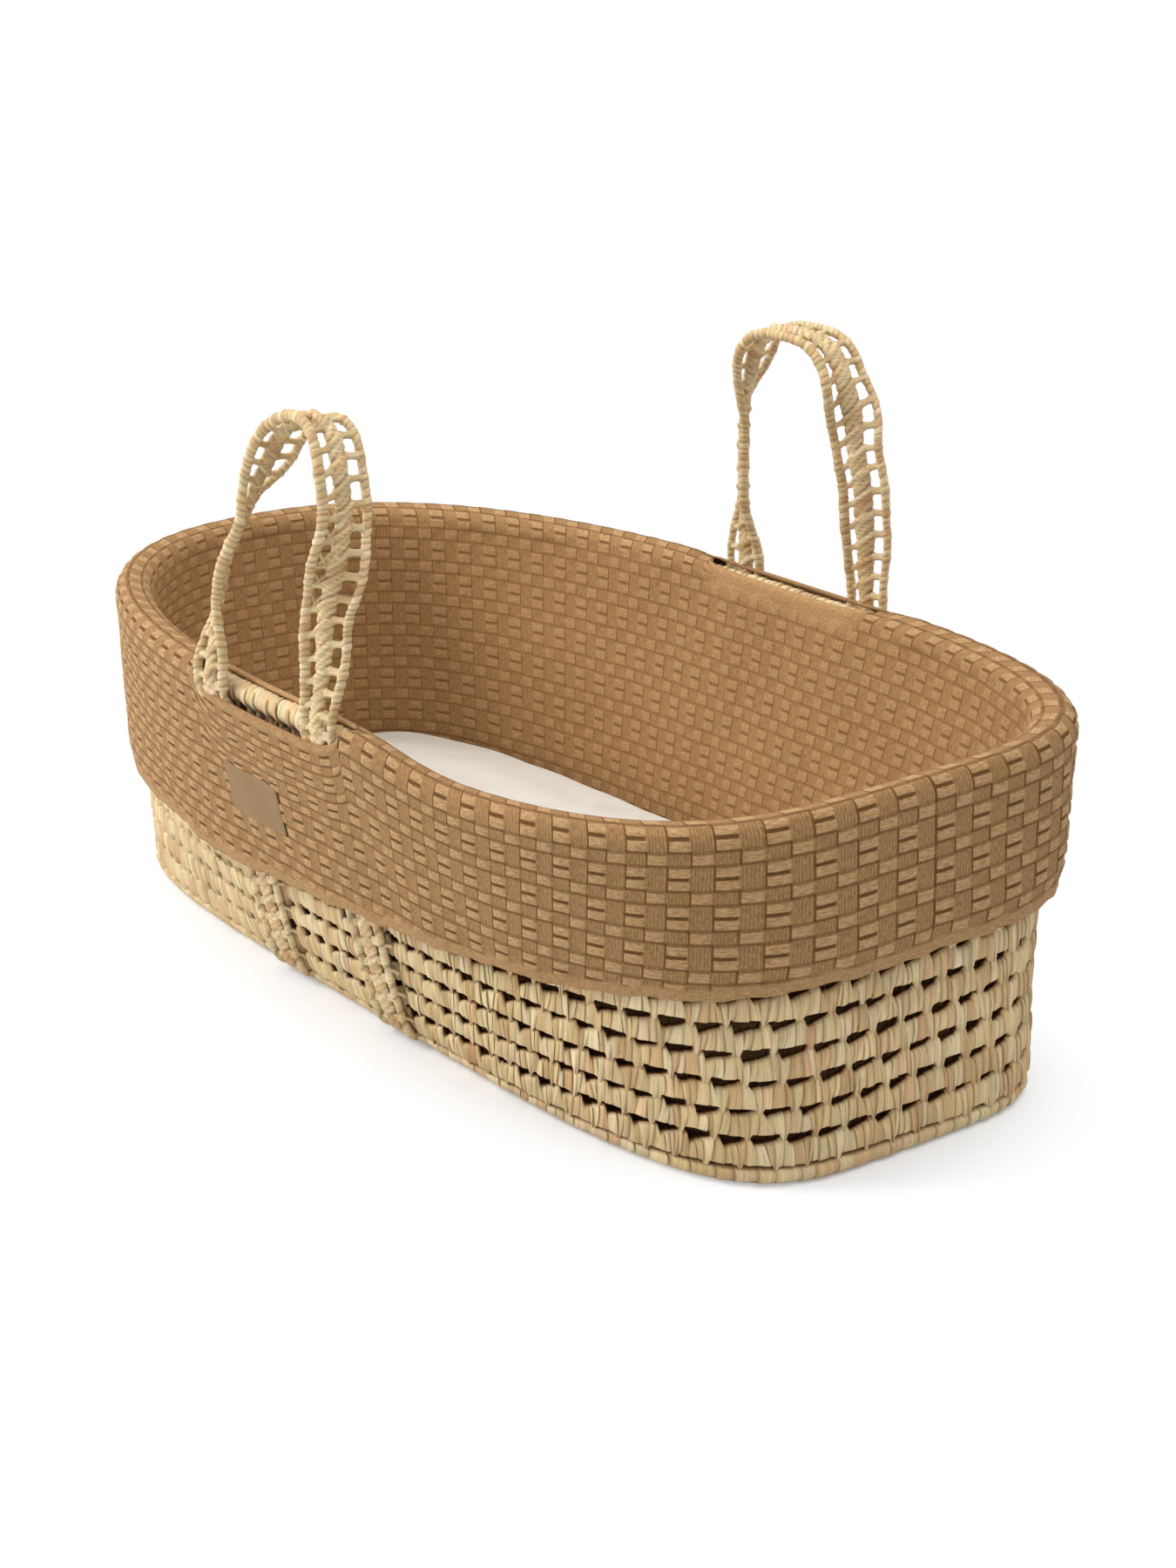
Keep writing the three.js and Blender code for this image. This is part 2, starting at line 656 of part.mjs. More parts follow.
// The hinge line of a handle: above the roll and just outside it.
function hingeLine(side) {
  const roll = wallPoint((side * Math.PI) / 2, ROLL_SHARE, ROLL_OFFSET);
  const y = roll.y + side * (ROLL_RADIUS + HINGE_GAP + CORE_HALF_THICKNESS);
  const z = roll.z + ROLL_RADIUS + CORE_HALF_THICKNESS + HINGE_CLEARANCE;
  return new THREE.Vector3(handleX(side), y, z);
}

// One carrying strap: up the front wall, under the floor and up the back wall, where each end
// bends out round the roll to meet its handle. The outer face carries the three cords' ridges.
function carryStrap(leg) {
  const across = [-STRAP_HALF, -MIDDLE_CORE_HALF, 0, MIDDLE_CORE_HALF, STRAP_HALF];
  const thick = [STRAP_EDGE_THICKNESS, STRAP_EDGE_THICKNESS, STRAP_THICKNESS,
    STRAP_EDGE_THICKNESS, STRAP_EDGE_THICKNESS];
  const wallRun = (side) => {
    const x = legX(leg, side);
    const hinge = hingeLine(side);
    const run = [];
    const put = (share, inner, lift, taper = 0) => {
      run.push(across.map((place, i) => {
        const at = (offset, drop) => sidePoint(x + place, share, offset, side, lift - drop);
        return [at(inner, 0), at(inner + thick[i], taper)];
      }));
    };
    const bulge = ROLL_OFFSET + ROLL_RADIUS + STRAP_GAP;
    const seat = THREE.MathUtils.degToRad(HINGE_SEAT_DEG);
    const reach = CORE_HALF_THICKNESS + HINGE_SEAT_GAP;
    const innerY = hinge.y - side * reach * Math.sin(seat);
    const outerY = hinge.y - side * (CORE_HALF_THICKNESS + SEAT);
    const seatZ = hinge.z - reach * Math.cos(seat);
    run.push(across.map((place, i) => [
      new THREE.Vector3(x + place, innerY, seatZ),
      new THREE.Vector3(x + place, outerY + side * thick[i], seatZ - STRAP_THICKNESS),
    ]));
    put(ROLL_SHARE, bulge, 0, SEAT);
    put(ROLL_SHARE, bulge, -ROLL_RADIUS / 2);
    put(ROLL_SHARE, STRAP_GAP, -2 * ROLL_RADIUS);
    const from = (ROLL_CENTRE - 2 * ROLL_RADIUS) / RIM_TOP;
    const to = (FLOOR_THICKNESS + STRAP_THICKNESS) / RIM_TOP;
    for (let i = 1; i <= STRAP_STEPS; i++) put(mix(from, to, i / STRAP_STEPS), STRAP_GAP, 0);
    const low = STRAP_THICKNESS / RIM_TOP;
    run.push(across.map((place, i) => {
      const inner = sidePoint(x + place, low, STRAP_GAP, side).setZ(STRAP_THICKNESS);
      const outer = sidePoint(x + place, low, STRAP_GAP + thick[i], side).setZ(STRAP_THICKNESS / 3);
      return [inner, outer];
    }));
    run.push(across.map((place, i) => {
      const inner = sidePoint(x + place, low, -STRAP_THICKNESS, side).setZ(STRAP_THICKNESS);
      const outer = sidePoint(x + place, low, -STRAP_THICKNESS / 3, side);
      return [inner, outer.setZ(STRAP_THICKNESS - thick[i])];
    }));
    return run;
  };
  const rows = [...wallRun(FRONT), ...wallRun(BACK).reverse()];
  const face = (which) => rows.map((row) => row.map((pair) => pair[which]));
  return slabSolid(face(1), face(0));
}

// Mattress: drawn-in sides, a rounded edge and a crown. The ticking is a shell round the foam,
// closed at the foot end by a zip.
function mattressBody(inset, stations) {
  const bottom = FLOOR_THICKNESS + SEAT + inset;
  const height = MATTRESS_HEIGHT - 2 * inset;
  const shrink = -(MATTRESS_INSET + inset);
  const profile = [
    [0, MATTRESS_EDGE],
    [MATTRESS_EDGE / 2, 0],
    [height / 2, MATTRESS_DRAW_IN],
    [height - MATTRESS_EDGE / 2, 0],
    [height, MATTRESS_EDGE],
    [height + MATTRESS_CROWN * MATTRESS_CROWN_SHARE, MATTRESS_CROWN_INSET],
  ];
  const outlines = profile.map(([rise, pull]) =>
    stations.map((bearing) => {
      const point = wallPoint(bearing, MATTRESS_SHARE, shrink - pull);
      return point.setZ(bottom + rise);
    }));
  const low = new THREE.Vector3(WIDEST_X, 0, bottom);
  const high = new THREE.Vector3(WIDEST_X, 0, bottom + height + MATTRESS_CROWN);
  return stackSolid(outlines, low, high);
}

function mattressPieces() {
  const fractions = [...Array(MATTRESS_STATIONS).keys()].map((i) => i / MATTRESS_STATIONS);
  const stations = bearingsAlong(fractions, MATTRESS_SHARE);
  const outer = toSolid(mattressBody(0, stations));
  const cavity = toSolid(mattressBody(TICKING_THICKNESS, stations));
  const core = mattressBody(TICKING_THICKNESS + SEAT, stations);
  const shell = outer.subtract(cavity);
  const middle = FLOOR_THICKNESS + SEAT + MATTRESS_HEIGHT / 2;
  const bar = (gap) => {
    const reach = BASE_FOOT_REACH / 2;
    const box = new THREE.BoxGeometry(
      reach, 2 * (ZIP_HALF_LENGTH - gap), 2 * (ZIP_HALF_HEIGHT - gap));
    box.translate(-BASE_FOOT_REACH, 0, middle);
    return toSolid(box);
  };
  return {
    ticking: fromSolid(shell.subtract(bar(0))),
    zip: fromSolid(shell.intersect(bar(SEAT))),
    core,
  };
}

// Assembly
const basket = new THREE.Group();

function add(group, name, geometry, finish) {
  const mesh = new THREE.Mesh(geometry, finish);
  mesh.name = name;
  group.add(mesh);
  return mesh;
}

add(basket, "woven_floor", wovenFloor(), palm);
for (let index = 0; index < ROW_COUNT; index++) {
  const name = "wall_row_" + String(index + 1).padStart(2, "0");
  add(basket, name, wallRow(index), palm);
}
add(basket, "rim_roll", rimRoll(), palePalm);
add(basket, "foot_side_strap", carryStrap(FOOT_LEG), palm);
add(basket, "head_side_strap", carryStrap(HEAD_LEG), palm);

add(basket, "knitted_cover", knittedCover(), knit);
add(basket, "hem_elastic", hemElastic(), elastic);
add(basket, "front_slot_binding", slotBinding(FRONT), knitBinding);
add(basket, "back_slot_binding", slotBinding(BACK), knitBinding);
add(basket, "label_patch", labelPatch(), tag);

function handle(name, side, leanDegrees) {
  const pivot = new THREE.Group();
  pivot.position.copy(hingeLine(side));
  pivot.rotation.x = side * THREE.MathUtils.degToRad(leanDegrees);
  add(pivot, name, handleStrap(), palePalm);
  basket.add(pivot);
}
handle("front_handle", FRONT, FRONT_LEAN_DEG);
handle("back_handle", BACK, BACK_LEAN_DEG);

const mattress = mattressPieces();
add(basket, "mattress_foam", mattress.core, foam);
add(basket, "mattress_cover", mattress.ticking, cotton);
add(basket, "mattress_zip", mattress.zip, zipTape);

// The frame's origin is the middle of the whole basket's footprint
basket.updateMatrixWorld(true);
const extent = new THREE.Box3().setFromObject(basket, true);
const middle = extent.getCenter(new THREE.Vector3());
basket.position.set(-middle.x, -middle.y, -extent.min.z);

export default basket;
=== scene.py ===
"""A palm-leaf carrying basket for a baby, put together as its maker does: floor, coiled wall, rim
roll, carrying straps and handles, then the knitted cover and the mattress. Lengths are metres.
"""
import math

import bpy
import numpy as np
from mathutils import Matrix, Vector


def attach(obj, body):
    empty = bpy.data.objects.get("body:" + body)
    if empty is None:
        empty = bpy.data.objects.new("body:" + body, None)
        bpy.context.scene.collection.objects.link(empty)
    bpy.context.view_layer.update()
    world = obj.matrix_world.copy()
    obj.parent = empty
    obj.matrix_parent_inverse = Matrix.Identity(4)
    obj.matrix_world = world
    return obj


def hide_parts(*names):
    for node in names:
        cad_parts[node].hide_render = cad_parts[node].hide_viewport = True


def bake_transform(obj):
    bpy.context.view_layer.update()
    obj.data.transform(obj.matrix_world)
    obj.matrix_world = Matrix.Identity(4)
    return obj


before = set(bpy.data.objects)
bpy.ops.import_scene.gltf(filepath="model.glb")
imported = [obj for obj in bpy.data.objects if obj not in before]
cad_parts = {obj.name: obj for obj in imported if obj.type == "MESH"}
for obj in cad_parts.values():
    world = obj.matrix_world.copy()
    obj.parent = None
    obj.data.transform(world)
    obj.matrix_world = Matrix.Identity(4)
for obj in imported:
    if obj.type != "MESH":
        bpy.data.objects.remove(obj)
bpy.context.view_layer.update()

# --- Coiled wall ---
# Bundles of palm leaf run round the basket, wrapped in flat strips of leaf. Each strip is drawn
# together with its neighbours at a knot that holds the bundle on the one below, and an opening
# is left between two knots.
TAU = 2 * math.pi
FRAME_SHIFT = np.array([-0.0018842, -0.0024737, 0.0])
RIM_TOP = 0.250
RIM_LEAN = 0.006
RIM_REACH = (0.408, 0.408)
RIM_HALF_WIDTH = 0.222
RIM_POWERS = (3.45, 2.3)
BASE_REACH = (0.418, 0.371)
BASE_HALF_WIDTH = 0.163
BASE_POWERS = (4.6, 4.8)
WIDEST_X = 0.018
BELLY = 0.68
RIM_SAG = 0.013
RIM_SAG_MIDDLE = math.radians(-47)
WALL_THICKNESS = 0.007
FLOOR_THICKNESS = 0.0115
ROW_COUNT = 11
ROLL_RADIUS = 0.008
ROLL_OFFSET = -0.0035
ROLL_SHARE = 0.238 / RIM_TOP
ROWS_START = 0.0483
ROW_STEP = (0.2297 / RIM_TOP - ROWS_START) / ROW_COUNT
KNOT_COUNT = 105
STRIP_WIDTH = 0.0056
HIDDEN_STRIPS = 190
SHOWN_ROWS = 8
STRAP_PLACES = (-0.050, 0.090)
STRAP_WIDTH = 0.041
STRAP_SKEW = 0.015


def smooth(low, high, value):
    """0 below low, 1 above high, and 3t^2 - 2t^3 between them."""
    t = np.clip((value - low) / (high - low), 0, 1)
    return t * t * (3 - 2 * t)


def outline_radius(bearing, reach, half_width, powers, offset):
    """A superellipse with its own reach and power at the head and at the foot: the distance r
    from the widest line at which |r cos / reach|^p + |r sin / half width|^p is 1."""
    cos, sin = np.cos(bearing), np.sin(bearing)
    head = cos >= 0
    half_length = np.where(head, reach[0] - WIDEST_X, reach[1] + WIDEST_X) + offset
    power = np.where(head, powers[0], powers[1])
    along, across = np.abs(cos) / half_length, np.abs(sin) / (half_width + offset)
    return (along ** power + across ** power) ** (-1 / power)


def wall_point(bearing, share, offset=0.0, lift=0.0):
    """The wall at a bearing and a share of its height. Its radius goes from the floor's outline
    to the rim's as share^0.68, which is the belly, and offset moves it outwards. The soft rim
    sags between the front handle and the head end, as share^3."""
    bearing, share, offset, lift = np.broadcast_arrays(bearing, share, offset, lift)
    base = outline_radius(bearing, BASE_REACH, BASE_HALF_WIDTH, BASE_POWERS, offset)
    rim = outline_radius(bearing, RIM_REACH, RIM_HALF_WIDTH, RIM_POWERS, offset)
    face = outline_radius(bearing, RIM_REACH, RIM_HALF_WIDTH, RIM_POWERS, 0.0)
    radius = base + (rim - base) * np.maximum(share, 0) ** BELLY
    top = RIM_TOP + RIM_LEAN * face * np.sin(bearing) / RIM_HALF_WIDTH
    away = (bearing - RIM_SAG_MIDDLE + math.pi) % TAU - math.pi
    sag = RIM_SAG * np.maximum(share, 0) ** 3 * np.where(
        away < 0, smooth(-0.42, 0, away), 1 - smooth(0, 0.75, away))
    point = [WIDEST_X + radius * np.cos(bearing), radius * np.sin(bearing), share * top + lift - sag]
    return np.stack(point, -1) + FRAME_SHIFT


def running_length(points):
    """The length run along a line of points, from 0 at the first."""
    return np.concatenate([[0], np.cumsum(np.linalg.norm(np.diff(points, axis=0), axis=1))])


def bearing_at(fraction, share):
    """Bearings that part the outline at a height into equal lengths, by its running length."""
    samples = np.linspace(0, TAU, 2881)
    run = running_length(wall_point(samples, share))
    turns = np.floor(fraction)
    return np.interp(fraction - turns, run / run[-1], samples) + TAU * turns


def girth(share):
    """The length of the outline at a height."""
    points = wall_point(np.linspace(0, TAU, 721), share)
    return np.linalg.norm(np.diff(points, axis=0), axis=1).sum()


def in_scene(name, data):
    """A new object with the data given, linked to the scene."""
    thing = bpy.data.objects.new(name, data)
    bpy.context.scene.collection.objects.link(thing)
    return thing


def grid_piece(name, sheets, material):
    """One mesh from several grids of points. Each sheet is (points, uv, marks, ring_u, ring_v):
    a ring closes that way, and its uv has one more row or column so the pattern runs on. marks
    are named colours, or single values that stand for a grey, for every point."""
    points, faces, uvs, marks, first = [], [], [], {}, 0
    for sheet, uv, mark, ring_u, ring_v in sheets:
        nu, nv = sheet.shape[:2]
        i, j = np.meshgrid(
            np.arange(nu if ring_u else nu - 1), np.arange(nv if ring_v else nv - 1), indexing="ij")
        around = [(0, 0), (1, 0), (1, 1), (0, 1)]
        faces.append(np.stack(
            [first + ((i + a) % nu) * nv + (j + b) % nv for a, b in around], -1).reshape(-1, 4))
        uvs.append(np.stack([uv[i + a, j + b] for a, b in around], -2).reshape(-1, 2))
        points.append(sheet.reshape(-1, 3))
        for key, value in mark.items():
            marks.setdefault(key, []).append(value.reshape(-1, value.shape[-1]))
        first += nu * nv
    points, faces, uvs = np.concatenate(points), np.concatenate(faces), np.concatenate(uvs)
    mesh = bpy.data.meshes.new(name)
    mesh.vertices.add(len(points))
    mesh.vertices.foreach_set("co", points.ravel())
    mesh.loops.add(faces.size)
    mesh.loops.foreach_set("vertex_index", faces.ravel())
    mesh.polygons.add(len(faces))
    mesh.polygons.foreach_set("loop_start", np.arange(len(faces)) * 4)
    mesh.update(calc_edges=True)
    mesh.polygons.foreach_set("use_smooth", np.ones(len(faces), bool))
    mesh.uv_layers.new(name="Lay").data.foreach_set("uv", uvs.ravel())
    for key, value in marks.items():
        value = np.concatenate(value)
        value = np.repeat(value, 3, axis=1) if value.shape[1] == 1 else value
        colour = np.concatenate([value, np.ones((len(value), 1))], 1)
        mesh.attributes.new(key, "FLOAT_COLOR", "POINT").data.foreach_set("color", colour.ravel())
    mesh.validate()
    mesh.materials.append(material)
    return in_scene(name, mesh)


def leaf_sheet(points, u, v, colour, painted_shade, ring_u, ring_v):
    """A sheet of leaf for grid_piece: its lay, its strips' colour draws, and its painted shade: how
    much darker each point is painted, as shade in grooves and hollows."""
    marks = {
        "leaf": np.broadcast_to(colour, points.shape),
        "painted_shade": np.broadcast_to(painted_shade[..., None], (*points.shape[:2], 1)),
    }
    return points, np.stack(np.broadcast_arrays(u, v), -1), marks, ring_u, ring_v


def leaf_strips(count, rng):
    """Strips of uneven width laid side by side, each a little over the next like a shingle. Each
    has seven columns of points: the groove beside it, and six over its flat face with a crisp
    edge on both sides. Returns their places as fractions of the whole length, how far each
    stands out, how deep in the groove it is, and its colour draws."""
    widths = rng.uniform(0.6, 1.5, count)
    edges = np.concatenate([[0], np.cumsum(widths)])
    edges /= edges[-1]
    across = np.array([0.0, 0.07, 0.15, 0.38, 0.62, 0.85, 0.93])
    place = (edges[:-1, None] + np.diff(edges)[:, None] * across).ravel()
    lifted = rng.choice([-1, 1], (count, 1), p=[0.7, 0.3]) * rng.uniform(0.2, 0.75, (count, 1))
    tilt = lifted * 0.001 * np.array([0, -1, -0.85, -0.3, 0.3, 0.85, 1])
    bow = np.array([-0.0010, -0.0001, 0.0, 0.00018, 0.00018, 0.0, -0.0001])
    stand = rng.normal(0, 0.00022, (count, 1)) * np.array([0.3, 1, 1, 1, 1, 1, 1])
    out = (bow + tilt + stand).ravel()
    depth = rng.uniform(0.25, 1.1, (count, 1))
    groove = (depth * np.array([1.0, 0.35, 0.0, 0.0, 0.0, 0.0, 0.35])).ravel()
    colour = np.repeat(rng.random((count, 3)), 7, axis=0)
    return place, out, groove, colour


def knot_phase(place, index):
    """A count of the knots passed along a row: place times the count, closer together at the
    foot end, wandering a little, and moved on by about half a pitch from row to row."""
    count = KNOT_COUNT * (place - 0.15 * np.sin(TAU * place) / TAU)
    return count + 0.46 * index + 0.3 * np.sin(2 * TAU * place + index)


def openness(bearing, share):
    """1 round the head end's front half, where the openings are long, less on the back half, and
    0 round the foot end, where they are small diamonds."""
    x = wall_point(bearing, share)[..., 0]
    return smooth(-0.27, 0.12, x) * (1 - 0.75 * smooth(-0.15, 0.3, np.sin(bearing)))


def opening_edges(phase, wide, draws):
    """How far the edge over an opening and the one under it are drawn back, from 0 at the knots,
    which lie at whole phases, to about 1. The edge above is straight. The one below drops at
    the first knot and climbs evenly to the next, so wide openings are wedges. Each opening has
    its own length and heights by draws."""
    part = phase % 1
    draw = draws[np.floor(phase).astype(int) % len(draws)]
    start = 0.25 - 0.11 * wide + 0.05 * (draw[..., 0] - 0.5)
    end = 0.70 + 0.17 * wide + 0.07 * (draw[..., 1] - 0.5)
    flat = smooth(start - 0.04, start + 0.04, part) * (1 - smooth(end - 0.05, end + 0.04, part))
    slope = 1 - (0.2 + 0.5 * wide) * (part - start) / (end - start)
    return flat * (0.8 + 0.5 * draw[..., 1]), flat * slope * (0.65 + 0.7 * draw[..., 0])


def wall_row(index, draws, rng):
    """One wrapped bundle. Its section is a flat loop whose lower edge reaches in behind the
    bundle below at each knot and rises over the openings between. The strips are drawn towards
    the knots as they come down, and each lies a little askew."""
    bottom = ROWS_START + index * ROW_STEP
    middle = bottom + ROW_STEP / 2
    count = int(girth(middle) / STRIP_WIDTH) if index < SHOWN_ROWS else HIDDEN_STRIPS
    place, out, groove, colour = leaf_strips(count, rng)
    # The loop, from the top over the front, under and up the back: height and depth shares
    height = np.array([1, 0.985, 0.90, 0.70, 0.36, 0.0, -0.36, -0.70, -0.90, -0.985, -1, -0.9, 0, 0.9])
    depth = np.array([-0.5, -0.30, -0.07, 0.03, 0.09, 0.11, 0.10, 0.06, 0.0, -0.14, -0.45, -0.92, -1, -0.92])
    down = (1 - height) / 2
    phase = knot_phase(place, index)
    wide = openness(bearing_at(place, middle), middle)
    draw = (0.34 + 0.26 * wide) * np.sin(TAU * phase) / (TAU * KNOT_COUNT)
    skew = rng.normal(0, 0.0011, count).repeat(7) / girth(middle)
    fraction = place[:, None] - draw[:, None] * down ** 1.2 + skew[:, None] * (down - 0.5)
    bearing = bearing_at(fraction, middle)
    near = np.abs((phase + 0.5) % 1 - 0.5) * 2
    over = opening_edges(phase, wide, draws[index])[0] * (0.7 if index == 0 else 1)
    under = opening_edges(knot_phase(place, index + 1), wide, draws[index + 1])[1]
    frayed = rng.normal(0, 0.0003, (2, count)).repeat(7, axis=1)
    low = -0.0022 - 0.0008 * (1 - smooth(0.0, 0.4, near)) + 0.0044 * over + frayed[0]
    high = ROW_STEP * RIM_TOP + 0.0004 - (0.0034 + 0.0022 * wide) * under + frayed[1]
    lift = low[:, None] + (high - low)[:, None] * (1 + height) / 2
    offset = depth * WALL_THICKNESS + out[:, None] * (1 - 0.6 * (np.abs(height) > 0.9))
    neck = (1 - smooth(0.2, 0.45, near))[:, None] * smooth(0.5, 0.95, down) * (depth > -0.6)
    offset = offset + (0.0006 - 0.0012 * wide[:, None]) * neck
    wave = 0.0006 * np.sin(TAU * (3 * place + 0.13 * index)) + 0.0004 * np.sin(TAU * 7 * place + index)
    # Beside each strap's head side edge the wall is drawn in, and painted dark as shade
    x = wall_point(bearing, middle)[..., 0] - FRAME_SHIFT[0]
    side = np.sign(np.sin(bearing)) * (np.abs(np.sin(bearing)) > 0.35)
    pressed = sum(np.exp(-((x - place - STRAP_SKEW * side - STRAP_WIDTH / 2 - 0.002) / 0.0026) ** 2)
                  for place in STRAP_PLACES) * np.abs(side)
    offset = offset - 0.0022 * pressed
    points = wall_point(bearing, bottom + lift / RIM_TOP, offset + wave[:, None])
    # Painted shade: the grooves between strips, the loop's back and inner faces, the knots' necks, the edges
    # round the openings, the wall beside the straps and the top row's upper half under the roll are painted
    # darker
    shade = 0.8 * pressed + 0.9 * groove[:, None] + 1.6 * (depth < -0.4) + 0.25 * neck
    shade = shade + 0.5 * under[:, None] * smooth(0.93, 1.0, height)
    shade = shade + 0.3 * over[:, None] * smooth(-0.9, -1.0, height)
    shade = shade + 1.0 * (index == ROW_COUNT - 1) * smooth(0.0, 0.8, height)
    u = np.append(place, 1.0) * girth(middle)
    v = np.append(np.cumsum(np.hypot(
        np.diff(height, prepend=1) * 0.0075, np.diff(depth, prepend=-0.5) * 0.007)), 0.046)
    return leaf_sheet(points, u[:, None], v, colour[:, None], shade, True, True)


def shades(group_name, inputs, outputs):
    """A node group with named inputs (name, socket type, start value) and outputs."""
    group = bpy.data.node_groups.new(group_name, "ShaderNodeTree")
    for name, kind, start in inputs:
        socket = group.interface.new_socket(name, in_out="INPUT", socket_type=kind)
        if start is not None:
            socket.default_value = start
    for name, kind in outputs:
        group.interface.new_socket(name, in_out="OUTPUT", socket_type=kind)
    return group


def tint(red, green, blue):
    """A colour as seen, 0 to 255, as the linear colour that a shader takes."""
    seen = np.array([red, green, blue]) / 255
    linear = np.where(seen <= 0.04045, seen / 12.92, ((seen + 0.055) / 1.055) ** 2.4)
    return (*linear, 1.0)


class Finish:
    """Adds nodes to a tree and links what is given to their sockets."""

    def __init__(self, tree):
        self.tree = tree
        self.shader = tree.nodes.get("Principled BSDF")

    def surface(self, inputs):
        """What the tree's shader takes, by the names of its inputs."""
        for name, value in inputs.items():
            self.give(self.shader.inputs[name], value)

    def add(self, kind, sockets=(), **settings):
        node = self.tree.nodes.new(kind)
        for key, value in settings.items():
            setattr(node, key, value)
        for key, value in dict(sockets).items():
            self.give(node.inputs[key], value)
        return node

    def give(self, socket, value):
        if isinstance(value, bpy.types.NodeSocket):
            self.tree.links.new(value, socket)
        else:
            socket.default_value = value

    def calc(self, operation, a, b=0.0, c=0.0, clamp=False):
        node = self.add("ShaderNodeMath", {0: a, 1: b, 2: c}, operation=operation, use_clamp=clamp)
        return node.outputs[0]

    def line(self, value, slope, start, clamp=False):
        """A value times a slope, from a start."""
        return self.calc("MULTIPLY_ADD", value, slope, start, clamp)

    def times(self, a, *others):
        """The product of several values."""
        for b in others:
            a = self.calc("MULTIPLY", a, b)
        return a

    def mix(self, kind, share, a, b):
        node = self.add("ShaderNodeMix", data_type="RGBA", blend_type=kind)
        for index, value in ((0, share), (6, a), (7, b)):
            self.give(node.inputs[index], value)
        return node.outputs[2]

    def lay(self):
        return self.add("ShaderNodeUVMap", uv_map="Lay").outputs[0]

    def place(self):
        return self.add("ShaderNodeTexCoord").outputs["Object"]

    def mark(self, name, output):
        return self.add("ShaderNodeAttribute", attribute_name=name).outputs[output]

    def noise(self, vector, scale, detail):
        settings = {"Vector": vector, "Scale": scale, "Detail": detail}
        return self.add("ShaderNodeTexNoise", settings).outputs[0]

    def wave(self, vector, scale, distortion, direction):
        settings = {"Vector": vector, "Scale": scale, "Distortion": distortion}
        return self.add("ShaderNodeTexWave", settings, bands_direction=direction).outputs["Fac"]

    def scaled(self, vector, scale):
        return self.add("ShaderNodeMapping", {"Vector": vector, "Scale": scale}).outputs[0]

    def grey(self, value, green=1.0, blue=1.0):
        """A colour from one value, with its green and blue held back by shares."""
        return self.add("ShaderNodeCombineColor", {
            0: value, 1: self.times(value, green), 2: self.times(value, blue)}).outputs[0]

    def bump(self, height, distance, strength=1.0):
        settings = {"Strength": strength, "Distance": distance, "Height": height}
        return self.add("ShaderNodeBump", settings).outputs[0]

    def ramp(self, value, stops):
        node = self.add("ShaderNodeValToRGB", {0: value})
        elements = node.color_ramp.elements
        while len(elements) < len(stops):
            elements.new(0.5)
        for element, (position, colour) in zip(elements, stops):
            element.position, element.color = position, colour
        return node.outputs[0]


def new_finish(name):
    """A new material, and what adds nodes to it."""
    material = bpy.data.materials.new(name)
    material.use_nodes = True
    return material, Finish(material.node_tree)


def leaf_group():
    """Dried palm leaf: each strip has its own shade of straw, and fine fibres run along it. Grooves,
    hollows and openings are painted dark brown, as shade, by the painted shade input."""
    group = shades("palm_leaf", [
        ("Lay", "NodeSocketVector", None), ("Draw", "NodeSocketColor", None),
        ("Painted Shade", "NodeSocketFloat", 0.0), ("Along", "NodeSocketVector", None),
        ("Pale", "NodeSocketFloat", 0.0),
    ], [("Colour", "NodeSocketColor"), ("Roughness", "NodeSocketFloat"), ("Height", "NodeSocketFloat")])
    n = Finish(group)
    given = n.add("NodeGroupInput").outputs
    draw = n.add("ShaderNodeSeparateColor", {0: given["Draw"]}).outputs
    straw = n.ramp(draw[0], [
        (0.0, tint(204, 164, 112)), (0.2, tint(226, 196, 144)), (0.5, tint(238, 214, 164)),
        (0.78, tint(244, 225, 178)), (1.0, tint(250, 236, 198))])
    cast = n.ramp(draw[1], [
        (0.0, tint(216, 206, 146)), (0.12, tint(232, 218, 162)), (0.3, tint(240, 214, 162)),
        (0.7, tint(240, 212, 160)), (0.88, tint(242, 196, 156)), (1.0, tint(216, 160, 118))])
    base = n.mix("MIX", 0.36, straw, cast)
    fibre = n.noise(n.scaled(given["Lay"], (1500, 60, 1)), 1.0, 3.0)
    streak = n.noise(n.scaled(given["Lay"], (520, 22, 1)), 1.0, 2.0)
    blotch = n.noise(given["Along"], 38.0, 4.0)
    # Painted shade of thin creases: dark lines run along the leaf, where the drawn-out noise passes
    # its middle
    crease = n.calc("COMPARE", streak, 0.47, 0.018)
    # Random tone of fibres, streaks, blotches and strips, times the painted shade of the creases
    light = n.times(
        n.line(fibre, 0.30, n.line(streak, 0.62, 0.53)), n.line(blotch, 0.36, 0.85),
        n.line(crease, -0.24, 1.0), n.line(draw[2], 0.16, 0.91))
    toned = n.mix("MULTIPLY", 1.0, base, n.grey(light, 0.98, 0.94))
    pale = n.mix("MIX", given["Pale"], toned, n.mix("SCREEN", 0.35, toned, tint(150, 132, 92)))
    # A little brown everywhere, and painted shade: darker brown where the painted shade mark is high
    shaded_leaf = n.mix("MIX", n.line(given["Painted Shade"], 0.42, 0.31, clamp=True), pale, tint(100, 58, 17))
    out = n.add("NodeGroupOutput")
    n.give(out.inputs["Colour"], shaded_leaf)
    n.give(out.inputs["Roughness"], n.line(fibre, 0.25, 0.52))
    n.give(out.inputs["Height"], n.line(streak, 1.2, fibre))
    return group


PALM_LEAF = leaf_group()


def leaf_material(name, pale):
    """A finish of palm leaf, read from the piece's own lay, strip colours and painted shade."""
    material, n = new_finish(name)
    leaf = n.add("ShaderNodeGroup", {
        "Lay": n.lay(), "Draw": n.mark("leaf", "Color"), "Painted Shade": n.mark("painted_shade", "Fac"),
        "Along": n.place(), "Pale": pale}, node_tree=PALM_LEAF).outputs
    n.surface({
        "Base Color": leaf["Colour"], "Roughness": leaf["Roughness"],
        "Normal": n.bump(leaf["Height"], 0.0005, 0.5), "Specular IOR Level": 0.4})
    return material


